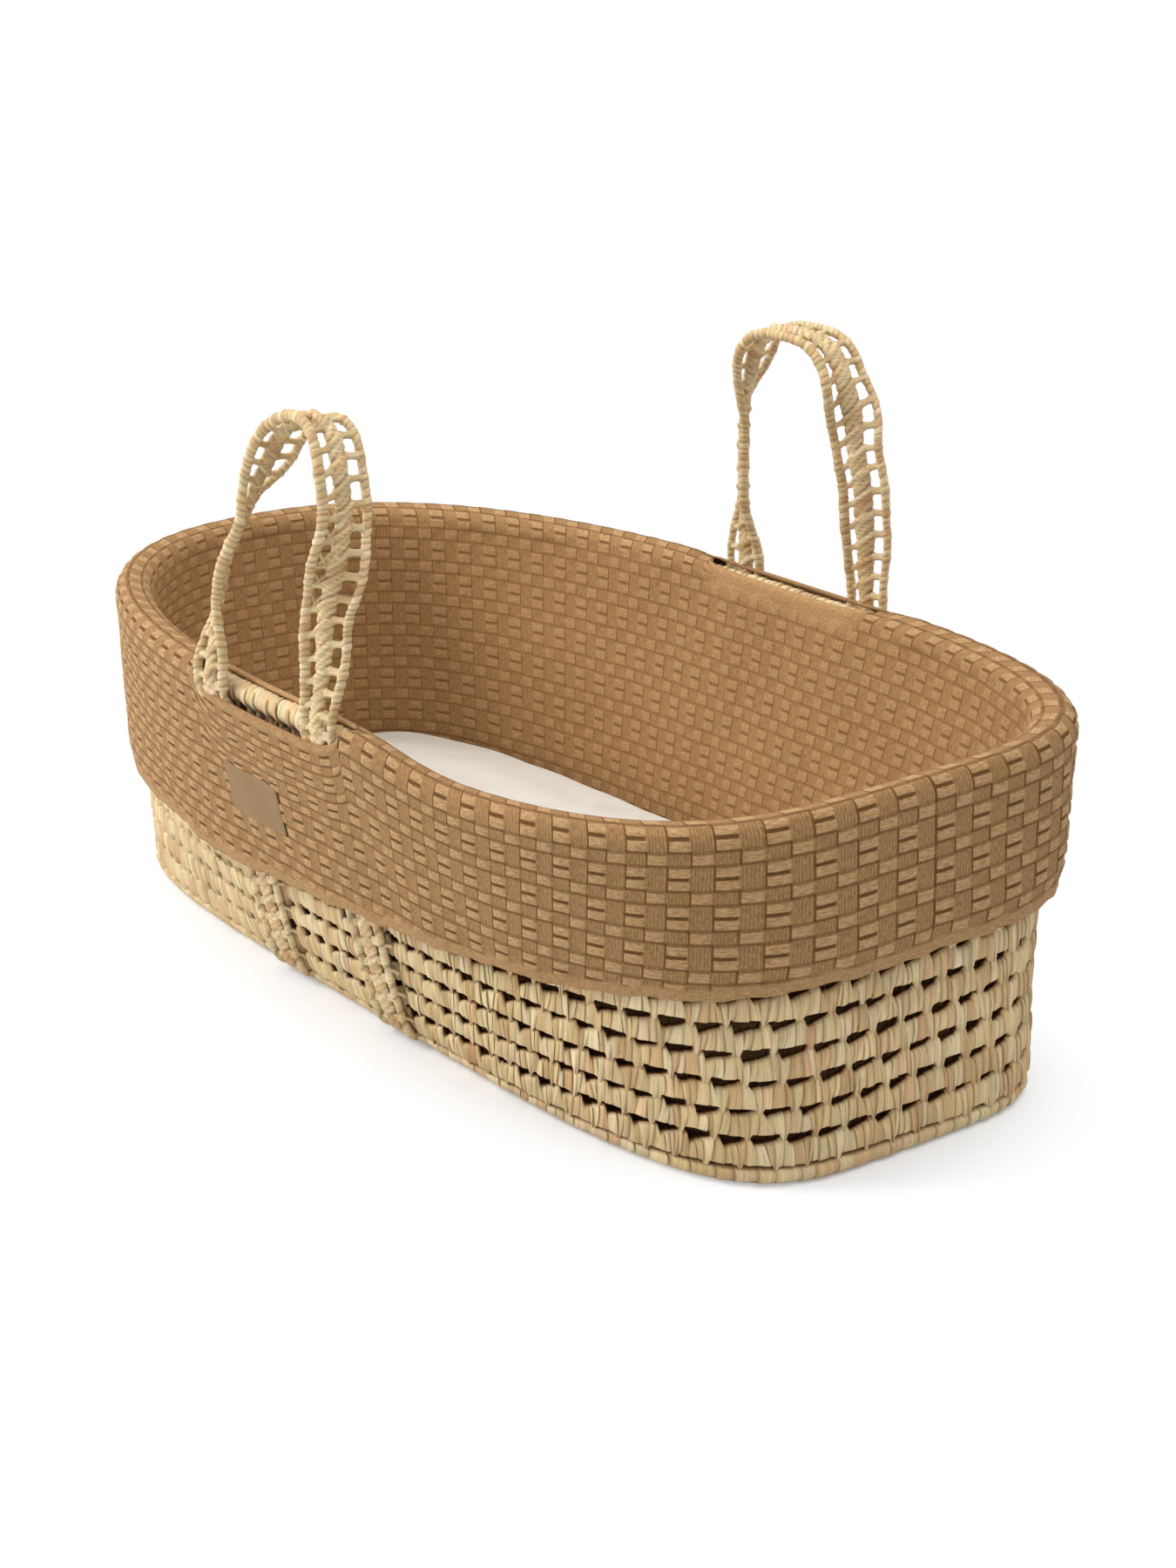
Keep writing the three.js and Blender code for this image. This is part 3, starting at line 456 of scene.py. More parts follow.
wall_leaf = leaf_material("wall_palm_leaf", 0.0)
row_rng = np.random.default_rng(11)
opening_draws = row_rng.random((ROW_COUNT + 1, KNOT_COUNT, 2))
for index in range(ROW_COUNT):
    row = grid_piece(f"wrapped_row_{index + 1:02d}", [wall_row(index, opening_draws, row_rng)], wall_leaf)
    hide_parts(f"wall_row_{index + 1:02d}")
    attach(row, "basket")


# --- Floor ---
# A flat coil of the same wrapped bundles. Its edge rounds up into the wall, and two shallow
# channels under it take the carrying straps.
COIL_PITCH = 0.0195
CHANNEL_DEPTH = 0.0058


def coiled_floor(rng):
    """A disc from rings of the floor's outline. It runs outwards over the top, round the edge as
    a quarter circle of the strips that go under, and back below. Each coil stands out as |sin|
    of the way in over its pitch, and the underside is raised over each strap."""
    top_in = np.linspace(0.1595, 0.0100, 40)
    turn = np.linspace(12, 90, 9) * math.pi / 180
    turn_in, turn_up = 0.0098 * (1 - np.cos(turn - turn[0])), 0.0102 * (1 - np.sin(turn))
    under_in = np.linspace(0.0105, 0.1595, 38)
    inset = np.concatenate([top_in, [0.004, 0.0012], turn_in, under_in])
    height = np.concatenate([np.full(40, FLOOR_THICKNESS - 0.0010), [0.0112, 0.0104], turn_up, np.zeros(38)])
    coil = 0.0010 * np.abs(np.sin(math.pi * inset / COIL_PITCH)) - 0.0010
    place, out, groove, colour = leaf_strips(155, rng)
    bearing = bearing_at(place, 0.02)[:, None]
    near_edge = smooth(0.030, 0.006, inset)
    strip_out = out[:, None] * np.where(inset > 0.006, 0.4, 1.0) * smooth(0.165, 0.10, inset)
    outwards = 0.0006 * near_edge - inset + np.where(height > 0.001, strip_out, 0)
    points = wall_point(bearing, height / RIM_TOP, outwards)
    points[..., 2] = height
    below = np.arange(len(inset)) > 50
    x = points[..., 0] - FRAME_SHIFT[0]
    x = x - STRAP_SKEW * np.clip((points[..., 1] - FRAME_SHIFT[1]) / 0.159, -1, 1)
    channel = sum(1 - smooth(STRAP_WIDTH / 2, STRAP_WIDTH / 2 + 0.004, np.abs(x - c)) for c in STRAP_PLACES)
    points[..., 2] += np.where(
        below, 0.0014 - coil * 0.6 - 0.3 * strip_out + CHANNEL_DEPTH * channel,
        np.where(inset > 0.009, coil + 0.3 * strip_out,
                 CHANNEL_DEPTH * channel * smooth(0.0075, 0.001, height)))
    points[..., 2] = np.maximum(points[..., 2], 0.0003)
    u = np.append(place, 1.0) * girth(0.02)
    v = np.concatenate([[0], np.cumsum(np.hypot(np.diff(inset), np.diff(height)))])
    # Painted shade: the grooves between strips and the valleys between coils are painted darker
    valley = (np.abs(np.sin(math.pi * inset / COIL_PITCH)) < 0.3) & (inset > 0.012)
    painted_shade = np.clip(groove[:, None] * 0.8 + 0.6 * valley, 0, 1)
    return leaf_sheet(points, u[:, None], v, colour[:, None], painted_shade, True, False)


floor_piece = grid_piece("coiled_floor", [coiled_floor(np.random.default_rng(5))], wall_leaf)
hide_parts("woven_floor")
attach(floor_piece, "basket")


# --- Rim roll ---
# A thick bundle wrapped closely in the palest leaf, which edges the wall. Strips tie it to the
# row below where the handles' slots lay it bare.
HANDLE_X = 0.020
WRAP_WIDTH = 0.0075
LASH_STEP = 0.014
LASH_REACH = 0.0086


def tube_angles(count):
    """Angles round a tube's section, at equal steps."""
    return np.linspace(0, TAU, count, endpoint=False)


def wrapped_roll(rng):
    """A tube round the rim. Each wrap leans a little along the roll and stands out from the
    groove beside it, as the strips of the wall do."""
    place, out, groove, colour = leaf_strips(int(girth(ROLL_SHARE) / WRAP_WIDTH), rng)
    angle = tube_angles(18)
    lean = 0.0035 / girth(ROLL_SHARE) * np.cos(angle)
    bearing = bearing_at(place[:, None] + lean, ROLL_SHARE)
    radius = ROLL_RADIUS - 0.0002 + out[:, None] * 0.9
    points = wall_point(bearing, ROLL_SHARE, ROLL_OFFSET + radius * np.cos(angle), radius * np.sin(angle))
    u = np.append(place, 1.0)[:, None] * girth(ROLL_SHARE)
    v = np.linspace(0, TAU * ROLL_RADIUS, 19)
    # The grooves between wraps are painted darker, as shade
    return leaf_sheet(points, u, v, colour[:, None], groove[:, None] * 0.8, True, True)


def handle_x(side):
    """Middle of a handle and its slot: the front one stands nearer the foot end."""
    return HANDLE_X + side * STRAP_SKEW


def roll_lash(x, side, rng):
    """A flat tube from over the roll's outer side, round it, and down the row."""
    swing = np.radians(np.linspace(50, -60, 9))
    offset = np.concatenate([ROLL_OFFSET + LASH_REACH * np.cos(swing), [0.0010, 0.0012, 0.0008]])
    lift = np.concatenate([LASH_REACH * np.sin(swing), [-0.0125, -0.0175, -0.0225]])
    angle = tube_angles(8)
    size = np.ones(12)
    size[[0, -1]] = 0
    slip = rng.normal(0, 0.001) + np.linspace(0, rng.normal(0.0045, 0.001), 12)
    along = slip[:, None] + 0.0024 * size[:, None] * np.cos(angle)
    out = 0.0011 * size[:, None] * np.sin(angle)
    way = x - WIDEST_X
    bearing = side * np.arccos(way / math.hypot(way, RIM_HALF_WIDTH)) + along / RIM_HALF_WIDTH
    points = wall_point(bearing, ROLL_SHARE, offset[:, None] + out, lift[:, None] + 0 * out)
    # Painted shade: the lash is painted darker along its two edges
    painted_shade = 0.25 * (1 - np.abs(np.sin(angle)))[None, :]
    return leaf_sheet(
        points, np.linspace(0, 0.02, 9), np.arange(12)[:, None] * 0.004, rng.random(3), painted_shade, False, True)


pale_leaf = leaf_material("pale_palm_leaf", 0.35)
roll_rng = np.random.default_rng(7)
lashes = [
    roll_lash(handle_x(side) + x + roll_rng.normal(0, 0.0015), side, roll_rng)
    for side in (-1, 1) for x in np.arange(-0.091, 0.092, LASH_STEP)]
roll = grid_piece("wrapped_rim_roll", [wrapped_roll(roll_rng)] + lashes, pale_leaf)
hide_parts("rim_roll")
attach(roll, "basket")


# --- Carrying straps and handles ---
# Each strap is three bundles wrapped in leaf, a broad one between two thin ones, tied together
# at every turn of the hand so that openings are left between. Two straps run up the front, under
# the floor and up the back, and join in the arch of a handle on each side.
HANDLE_HALF_SPACING = 0.070
HANDLE_RISE = 0.190
STRAP_REACH = 0.004
TIE_PITCH = 0.0158
BROAD_PITCH = 0.0062
STRAP_EDGE = 0.0165
HANDLE_EDGE = 0.0171
ROLL_Z = {side: wall_point(side * math.pi / 2, ROLL_SHARE, ROLL_OFFSET) for side in (-1, 1)}


def side_point(x, share, offset, side):
    """The wall at an x on a long side: the bearing whose cosine is the way to x over the radius,
    found by going round that equation a few times."""
    bearing = np.full(np.shape(share), side * math.pi / 2)
    for _ in range(8):
        point = wall_point(bearing, share, offset) - FRAME_SHIFT
        radius = np.linalg.norm(point[..., :2] - [WIDEST_X, 0], axis=-1)
        bearing = side * np.arccos(np.clip((x - WIDEST_X) / radius, -1, 1))
    return wall_point(bearing, share, offset)


def unit(vectors):
    """The same ways, each one long."""
    return vectors / np.linalg.norm(vectors, axis=1, keepdims=True)


def even_run(points, step):
    """Points at equal steps along a line through the points given, softened at its corners."""
    run = running_length(points)
    places = np.linspace(0, run[-1], int(run[-1] / step) + 1)
    line = np.stack([np.interp(places, run, points[:, axis]) for axis in range(3)], 1)
    for _ in range(6):
        line[1:-1] = (line[:-2] + 2 * line[1:-1] + line[2:]) / 4
    return places, line


class StrapRun:
    """A strap's middle line, with the way across it and out of its face at each place."""

    def __init__(self, places, line, across):
        tangent = unit(np.gradient(line, axis=0))
        across = unit(across - tangent * (across * tangent).sum(1, keepdims=True))
        self.places, self.rows = places, (line, across, np.cross(tangent, across))
        self.length = places[-1]

    def at(self, along, across, out):
        """The point at a length along the strap, a way across it and a way out of its face."""
        along, across, out = np.broadcast_arrays(along, across, out)
        line, wide, face = (
            np.stack([np.interp(along, self.places, row[:, axis]) for axis in range(3)], -1)
            for row in self.rows)
        return line + wide * across[..., None] + face * out[..., None]


def wrapped_core(run, middle, half, swell, tie_places, lean, pitch, rng, depth=0.00062, slant=0.0):
    """One bundle of a strap: an oval tube along the run, half its width and thickness. It is
    ridged by its wraps, each |sin| of the length over their pitch, which lean across the tube.
    It swells where it is tied, along a line aslant the tube, with a hollow beside it. The hollow
    and the grooves between wraps are painted dark, as shade."""
    along = np.linspace(0, run.length, int(run.length / 0.00095))[:, None]
    angle = tube_angles(16)
    start = rng.uniform(0, TAU)
    wander = 0.22 * np.sin(along * 95 + start) + 0.1 * np.sin(along * 310)
    turn = along / pitch + np.cos(angle) * lean + wander
    ridge = np.abs(np.sin(math.pi * turn)) ** 0.6 * depth - 0.6 * depth
    from_tie = along[..., None] - tie_places + slant * np.cos(angle)[:, None]
    tied = np.exp(-(from_tie / (0.0021 + 0.1 * slant)) ** 2).sum(-1)
    hollow = np.exp(-((from_tie + 0.0024 + 0.35 * slant) / 0.0011) ** 2).sum(-1) * (slant > 0)
    ends = np.minimum(1, np.minimum(along, run.length - along) / 0.0008)
    uneven = 1 + 0.05 * np.sin(along * 61 + start) + 0.03 * np.sin(along * 147 + 2 * start)
    raised = ridge + swell * tied - 0.0008 * hollow
    across = (half[0] * uneven + raised) * np.cos(angle) * ends
    out = (half[1] * uneven + raised) * np.sin(angle) * ends
    points = run.at(along, middle + across, out)
    wraps = np.floor(turn[..., None]).astype(int)
    draws = rng.random((int(run.length / pitch) + 12, 3))
    leaf = draws[np.clip(wraps[..., 0] + 3, 0, len(draws) - 1)]
    # Painted shade: the grooves between wraps and the hollow beside each tie are painted dark
    painted_shade = np.clip(1.1 - np.abs(np.sin(math.pi * turn)) * 2.0 + 1.2 * hollow, 0, 1)
    return leaf_sheet(points, along, np.linspace(0, TAU * half[0], 17), leaf, painted_shade, False, True)


def strap_tie(run, start, end, half, rng, flare=1.1):
    """A short twisted tie from one (along, across, out) of a strap to another: a flat oval tube,
    narrowest in its middle and widening at both ends, so that the holes beside it are round."""
    step = np.linspace(0, 1, 9)[:, None]
    angle = tube_angles(8)
    waist = 1 + flare * np.abs(2 * step - 1) ** 2.5
    waist[[0, -1]] = 0
    along, across, out = (a + (b - a) * step for a, b in zip(start, end))
    along = along + half[0] * waist * np.cos(angle + 0.7 * step)
    out = out + half[1] * np.minimum(waist, 1.3) * np.sin(angle + 0.7 * step)
    points = run.at(along, across, out)
    # Painted shade: one side of the twisted tie is painted darker
    painted_shade = 0.5 * (1 - np.abs(np.sin(angle + 1.1)))[None, :]
    return leaf_sheet(points, np.linspace(0, 0.02, 9), step * 0.01, rng.random(3), painted_shade, False, True)


def openwork(run, edge, edge_half, middle_half, tie_half, rng, flare=1.1, swell=0.0014, slant=0.0045,
             wrap=(0.0050, 0.00062)):
    """The bundles and ties of a strap. edge is how far out the thin bundles lie. Each tie runs
    aslant from the inner thin bundle over the broad one to the outer thin one. The broad bundle
    lies a little nearer the inner side, so the holes there are smaller."""
    places = np.arange(0.009, run.length - 0.006, TIE_PITCH)
    places = places + rng.normal(0, 0.0007, places.shape)
    inner_half, outer_half = np.array(edge_half) * 1.1, np.array(edge_half) * 0.93
    sheets = [
        wrapped_core(run, -edge, inner_half, swell / 3, places + 0.008, 0.25, wrap[0], rng, wrap[1]),
        wrapped_core(run, -0.0010, middle_half, swell, places, 1.1, BROAD_PITCH, rng, wrap[1] * 1.3, slant),
        wrapped_core(run, edge, outer_half, swell / 3, places - 0.005, 0.25, wrap[0], rng, wrap[1]),
    ]
    inner = middle_half[0] - 0.002
    for place in places:
        slip = rng.normal(0, 0.0006, 2)
        ends = [
            ((place + slant, -inner - 0.001, 0), (place + 2 * slant + slip[0], -edge, 0)),
            ((place - slant, inner - 0.001, 0), (place - 1.3 * slant + slip[1], edge, 0))]
        sheets += [strap_tie(run, start, end, tie_half, rng, flare) for start, end in ends]
    return sheets


def strap_line(x, side):
    """Middle line of a strap from above the roll to the floor: round the outside of the roll,
    in against the wall, down its face and round the bottom edge."""
    roll_y, roll_z = ROLL_Z[side][1], ROLL_Z[side][2]
    outside = roll_y + side * (ROLL_RADIUS + 0.0005 + STRAP_REACH)
    top = [[x + FRAME_SHIFT[0], outside, roll_z + lift] for lift in (0.0090, 0.004, 0.0, -0.004)]
    shares = np.linspace((0.238 - 0.018) / RIM_TOP, 0.012 / RIM_TOP, 24)
    wall = side_point(x, shares, 0.0036, side)
    edge = side_point(x, np.array([0.006 / RIM_TOP]), 0.0028, side)
    corner = side_point(x, np.array([0.006 / RIM_TOP]), -0.007, side)
    edge[0, 2], corner[0, 2] = 0.0072, 0.0046
    return np.concatenate([top, wall, edge, corner])


def laces(run, edge, rng):
    """Short laces that hold the strap's head side edge to the wall, one at every row."""
    places = np.arange(0.045, run.length - 0.04, ROW_STEP * RIM_TOP)
    places = places[np.abs(places - run.length / 2) > 0.16]
    ends = [(p + rng.normal(0, 0.001), p + rng.normal(0.002, 0.0015)) for p in places]
    return [
        strap_tie(run, (a, edge - 0.001, 0.0004), (b, edge + 0.0075, -0.0030), (0.0015, 0.0008), rng, 0.3)
        for a, b in ends]


for place, node in zip(STRAP_PLACES, ("foot_side_strap", "head_side_strap")):
    down, up = strap_line(place - STRAP_SKEW, -1), strap_line(place + STRAP_SKEW, 1)[::-1]
    places, line = even_run(np.concatenate([down, up]), 0.002)
    run = StrapRun(places, line, np.tile([1.0, 0.0, 0.0], (len(line), 1)))
    strap_rng = np.random.default_rng(21)
    sheets = openwork(
        run, STRAP_EDGE, (0.0040, 0.0028), (0.0088, 0.0025), (0.0038, 0.0017), strap_rng,
        flare=0.2, swell=0.0003, slant=0.0030, wrap=(0.013, 0.0003))
    strap = grid_piece(f"wrapped_{node}", sheets + laces(run, 0.0190, strap_rng), wall_leaf)
    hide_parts(node)
    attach(strap, "basket")


def handle_run(side, lean_degrees):
    """A handle's run: x = -|cos|^(2/3) and z = |sin|^(2/3) of half a turn, leaned inwards about
    the hinge line, with each leg carried on down past the hinge. The strap lies flat against
    the wall at its feet and turns a quarter round in two steps on the way up."""
    angle = np.linspace(0, math.pi, 1201)
    x = -np.sign(np.cos(angle)) * np.abs(np.cos(angle)) ** (2 / 3) * HANDLE_HALF_SPACING
    z = np.abs(np.sin(angle)) ** (2 / 3) * HANDLE_RISE
    drop = np.linspace(0.012, 0.0005, 12)
    x = np.concatenate([np.full(12, -HANDLE_HALF_SPACING), x, np.full(12, HANDLE_HALF_SPACING)])
    z = np.concatenate([-drop, z, -drop[::-1]])
    places, line = even_run(np.stack([x, 0 * x, z], 1), 0.0015)
    tangent = unit(np.gradient(line, axis=0))
    flat = np.cross(tangent, [0, 1, 0])
    # The foot side leg turns early, the head side leg late
    early = np.where(line[:, 0] < 0, 0.42, 0.24)
    late = np.where((line[:, 0] > 0) & (side < 0), 0.070, 0.110)
    turned = early * smooth(0, 0.055, line[:, 2]) + (1 - early) * smooth(late, late + 0.060, line[:, 2])
    turn = (1 - turned)[:, None] * math.pi / 2
    face = flat * np.cos(turn) - np.array([0, 1.0, 0]) * np.sin(turn)
    across = np.cross(face, tangent)
    lean = math.radians(lean_degrees) * side
    leaned = np.array([[1, 0, 0], [0, math.cos(lean), -math.sin(lean)], [0, math.sin(lean), math.cos(lean)]])
    leaned = np.where((line[:, 2] < 0)[:, None, None], np.eye(3), leaned)
    place = ROLL_Z[side] + np.array([0, side * 0.01265, 0.0132])
    place[0] = handle_x(side) + FRAME_SHIFT[0]
    # Slow bends of the hand-made arch, none at its feet; the front one sets over to the head end
    foot_share = 0.5 - line[:, 0] / (2 * HANDLE_HALF_SPACING)
    line[:, 0] += 0.010 * (side < 0) * smooth(0.070, 0.120, line[:, 2])
    line[:, 0] += 0.018 * (side < 0) * foot_share * smooth(0.060, 0.180, line[:, 2])
    peak = 0.007 * np.exp(-((line[:, 0] - 0.030) / 0.028) ** 2) * smooth(0.140, 0.190, line[:, 2])
    line[:, 2] += (side < 0) * (peak - 0.009 * foot_share * smooth(0.100, 0.185, line[:, 2]))
    sway = 0.0011 * np.sin(places * 47 + side) + 0.0006 * np.sin(places * 120)
    sway = sway * smooth(0.01, 0.06, line[:, 2])
    line = np.einsum("nij,nj->ni", leaned, line + across * sway[:, None]) + place
    across = np.einsum("nij,nj->ni", leaned, across)
    return StrapRun(places, line, across), place


def crossed_strips(run, middle, edge, rng):
    """Loose ends tucked criss-cross into four openings of the head side leg."""
    first = run.length - 0.078 - TIE_PITCH * np.arange(4)
    pairs = [(p, p - TIE_PITCH) for p in first] + [(p - TIE_PITCH, p) for p in first]
    return [
        strap_tie(run, (a, -middle, 0.0006), (b, -edge, 0.0002), (0.0018, 0.0009), rng, 0.4)
        for a, b in pairs]


for side, lean_degrees, name in ((-1, 10, "front_handle"), (1, 4, "back_handle")):
    run, hinge = handle_run(side, lean_degrees)
    handle_rng = np.random.default_rng(31 + side)
    core = (0.0060, 0.0035) if side < 0 else (0.0074, 0.0037)
    sheets = openwork(run, HANDLE_EDGE, (0.0031, 0.0032), core, (0.0024, 0.0019), handle_rng)
    if side < 0:
        sheets += crossed_strips(run, 0.0045, 0.0165, handle_rng)
    handle = grid_piece(f"openwork_{name}", sheets, pale_leaf)
    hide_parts(name)
    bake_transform(handle)


# --- Knitted cover ---
# One knitted cloth lines the basket, folds over the rim roll and hangs outside as a skirt with
# elastic in its hem. Its pattern is blocks of raised bars between blocks of fine ribs. A slit
# over each handle's feet is pulled open, so the roll shows there.
KNIT_UNIT = np.array([0.0266, 0.0276])
KNIT_UNITS_ROUND = 84.0
KNIT_COLUMNS = 740
SKIRT_ROWS = 104
SKIRT_RELIEF = 0.0011
LINING_RELIEF = 0.0005
STITCH_PITCH = 0.0021
BEAD_PITCH = 0.0020
COVER_RADIUS = 0.012
SHOULDER_PADDING = 0.004
SLOT_HALF_LENGTH = 0.095
SLOT_DROPS = {-1: 0.0065, 1: -0.0115}
LINING_OFFSET = -0.0155
SKIRT_OFFSET = 0.0125
HEM_SHARES = (0.37, 0.55)
HEM_TUCK = 0.025
SEAM_ANGLE = math.radians(62)


def hem_share(bearing):
    """The hem climbs from the foot end to the head end with x."""
    x = wall_point(bearing, 0.3)[..., 0] - FRAME_SHIFT[0]
    return HEM_SHARES[0] + (HEM_SHARES[1] - HEM_SHARES[0]) * np.clip((x + 0.100) / 0.518, 0, 1)


def from_handle(bearing, share):
    """How far along the basket a bearing is from the middle of its side's handle, at a height,
    and whether it lies on a long side."""
    x = wall_point(bearing, share)[..., 0] - FRAME_SHIFT[0]
    return np.abs(x - handle_x(np.sign(np.sin(bearing)))), np.abs(np.sin(bearing)) > 0.35


def hem_stand(bearing):
    """The hem's way out from the wall: further out where it passes the straps."""
    away, long_side = from_handle(bearing, 0.3)
    near_strap = 1 - smooth(0, STRAP_WIDTH, away - 2 * HANDLE_HALF_SPACING)
    return 0.0035 + 0.0034 * near_strap * long_side


def slot_open(bearing):
    """How far the slit is pulled open: (1 - t^5)^0.4 with t the way from the slot's middle to its
    end, none beyond it."""
    away, long_side = from_handle(bearing, ROLL_SHARE)
    return (1 - np.clip(away / SLOT_HALF_LENGTH, 0, 1) ** 5) ** 0.4 * long_side


def slot_hug(bearing):
    """1 along a slot, going to nothing over 35 mm beyond its ends: how closely the cloth lies on
    the roll."""
    away, long_side = from_handle(bearing, ROLL_SHARE)
    return (1 - smooth(-0.004, 0.035, away - SLOT_HALF_LENGTH)) * long_side


def skirt_ripple(bearing, share):
    """Slow swells of the hanging cloth, which fade towards the rim."""
    fade = smooth(1.0, 0.75, share)
    return fade * (0.0008 * np.sin(bearing * 9 + 4 * share) + 0.0006 * np.sin(bearing * 23 + 9 * share))


def knit_columns():
    """Bearings of the cover's columns of points, at equal counts of the knit's units, and their
    lay round it. The cloth is stretched a fifth more round the head end than along the sides."""
    samples = np.linspace(0, 1, 2001)
    from_head = np.minimum(samples, 1 - samples)
    dense = 1 - 0.2 * (1 - smooth(0.055, 0.105, from_head))
    count = np.concatenate([[0], np.cumsum((dense[1:] + dense[:-1]) / 2)])
    places = np.interp(np.arange(KNIT_COLUMNS) / KNIT_COLUMNS, count / count[-1], samples)
    lay = np.linspace(0, KNIT_UNITS_ROUND, KNIT_COLUMNS + 1) * KNIT_UNIT[0]
    return bearing_at(places, ROLL_SHARE)[:, None], lay[:, None]


def knit_relief(u, v):
    """Raised bars as heights from 0 to 1. Two bars over the first 0.54 of a unit in the tall band;
    one over the rest in the low."""
    fu, fv = (u / KNIT_UNIT[0]) % 1, (v / KNIT_UNIT[1]) % 1

    def block(value, low, high, soft):
        return smooth(low - soft, low + soft, value) * (1 - smooth(high - soft, high + soft, value))

    two = block(fu, 0.03, 0.51, 0.04) * (block(fv, 0.03, 0.29, 0.05) + block(fv, 0.36, 0.61, 0.05))
    one = block(fu, 0.53, 0.97, 0.04) * block(fv, 0.68, 0.96, 0.05)
    return two + one


def shoulder_radius(angle, bearing):
    """The cover's radius over the roll, with padding on the outer side, less beside a slot."""
    padding = SHOULDER_PADDING * smooth(-0.1, 0.8, np.cos(angle))
    padding = padding * (1 - 0.5 * slot_hug(bearing) * (np.sin(bearing) > 0))
    return COVER_RADIUS + padding - 0.0029 * slot_hug(bearing) * smooth(0.75, 0.2, np.abs(np.cos(angle)))


def skirt_grid():
    """The skirt from the fold to the turned-in hem. Along each column the cloth goes round the
    padded shoulder and down outside the wall; its top edge drops below the roll in a slot, and
    the rows of the knit close up under it. Both edges curl inwards."""
    bearing, knit_u = knit_columns()
    ragged = 0.0010 * np.sin(bearing * 37) * np.sin(bearing * 13 + 1) + 0.0005 * np.sin(bearing * 90)
    hem, stand, open_here = hem_share(bearing) + ragged / RIM_TOP, hem_stand(bearing), slot_open(bearing)
    arc = 0.016 * SEAM_ANGLE
    fall = (0.238 / RIM_TOP - hem) * RIM_TOP
    whole = arc + fall
    drop = np.where(np.sin(bearing) < 0, SLOT_DROPS[-1], SLOT_DROPS[1])
    top = open_here * (arc + drop)
    row = np.linspace(0, 1, SKIRT_ROWS)
    down = top + (whole - top) * row
    knit_v = down - top * (1 - smooth(top, top + 0.07, down))
    angle = SEAM_ANGLE * (1 - np.clip(down / arc, 0, 1))
    radius = shoulder_radius(angle, bearing)
    on_roll = down < arc
    below = np.maximum(down - arc, 0)
    share = ROLL_SHARE - below / RIM_TOP
    tucked = smooth(HEM_TUCK, 0, whole - down)
    offset = np.where(on_roll, ROLL_OFFSET + radius * np.cos(angle),
                      SKIRT_OFFSET + (stand + 0.0054 - SKIRT_OFFSET) * tucked)
    offset = offset + np.where(on_roll, 0, skirt_ripple(bearing, share))
    lift = np.where(on_roll, radius * np.sin(angle), 0)
    relief = knit_relief(knit_u[:-1], knit_v) * SKIRT_RELIEF * smooth(0, 0.010, whole - down)
    hem_roll = 0.0012 * smooth(0.010, 0.007, whole - down)
    edge_roll = 0.0010 * smooth(0.008, 0.004, down - top) * smooth(0.0, 0.3, open_here)
    offset = offset + relief + hem_roll + edge_roll
    # Curl: two turns of the edge, at the slot and at the hem
    curl = np.array([[0.0030, 0.0008], [0.0034, -0.0008], [0.0026, -0.0022], [0.0012, -0.0028]])
    turned = curl[::-1] * np.maximum(open_here, 0.1)[..., None]
    first = np.stack([
        offset[:, :1] - turned[..., 0], share[:, :1] + 0 * curl[:, 0], lift[:, :1] + turned[..., 1]])
    last = np.stack([
        offset[:, -1:] - curl[:, 0], share[:, -1:] + 0 * curl[:, 0], lift[:, -1:] - curl[:, 1]])
    offset, share, lift = np.concatenate([first, np.stack([offset, share, lift]), last], 2)
    points = wall_point(bearing, share, offset, lift)
    step = np.array([-0.004, -0.003, -0.002, -0.001])
    knit_v = np.concatenate([knit_v[:, :1] + step, knit_v, knit_v[:, -1:] - step[::-1]], 1)
    knit_v = np.concatenate([knit_v, knit_v[:1]])
    uv = np.stack(np.broadcast_arrays(knit_u, knit_v), -1)
    plain = np.maximum(hem_roll, edge_roll) / 0.0012
    plain = np.concatenate([plain[:, :1] * np.ones(4), plain, plain[:, -1:] * np.ones(4)], 1)
    marks = {"plain": np.clip(plain, 0, 1)[..., None], "inside": np.zeros((*points.shape[:2], 1))}
    return points, uv, marks, True, False


def lining_grid():
    """The lining, from the fold down the inside. In a slot its edge draws back over the roll to
    the inner side."""
    bearing, knit_u = knit_columns()
    open_here = slot_open(bearing)
    start = SEAM_ANGLE + open_here * (math.radians(128) - SEAM_ANGLE)
    row = np.concatenate([np.linspace(0, 1, 15), np.linspace(1, 2, 86)[1:], np.linspace(2, 3, 12)[1:]])
    on_roll = row <= 1
    angle = start + (math.pi - start) * np.clip(row, 0, 1)
    radius = shoulder_radius(angle, bearing) - open_here * 0.0024 * smooth(0.45, 0.0, row)
    high, low, bottom = ROLL_SHARE, 0.066 / RIM_TOP, 0.015 / RIM_TOP
    share = np.interp(row, [0, 1, 2, 3], [high, high, low, bottom])
    arc = COVER_RADIUS * (math.pi - SEAM_ANGLE)
    lengths = [0, arc, arc + (high - low) * RIM_TOP, arc + (high - bottom) * RIM_TOP]
    run = np.interp(row, [0, 1, 2, 3], lengths)
    knit_v = -run + 0 * bearing
    sway = 0.0007 * np.sin(bearing * 11 + 5 * share) + 0.0005 * np.sin(bearing * 31 - 7 * share)
    offset = np.where(on_roll, ROLL_OFFSET + radius * np.cos(angle), LINING_OFFSET + sway)
    lift = np.where(on_roll, radius * np.sin(angle), 0) + 0 * bearing
    relief = knit_relief(knit_u[:-1], knit_v) * LINING_RELIEF
    offset = offset - relief * np.where(on_roll, 0.5, 1)
    points = wall_point(bearing, share + 0 * bearing, offset, lift)
    uv = np.stack(np.broadcast_arrays(knit_u, np.concatenate([knit_v, knit_v[:1]])), -1)
    # The inside mark fades the bars and sets the lining's painted light
    inside = np.broadcast_to(smooth(0, 0.034, run)[None, :, None], (*points.shape[:2], 1))
    plain = (open_here * smooth(0.036, 0.026, run))[..., None]
    return points, uv, {"plain": plain, "inside": inside + 0.35 * plain}, True, False


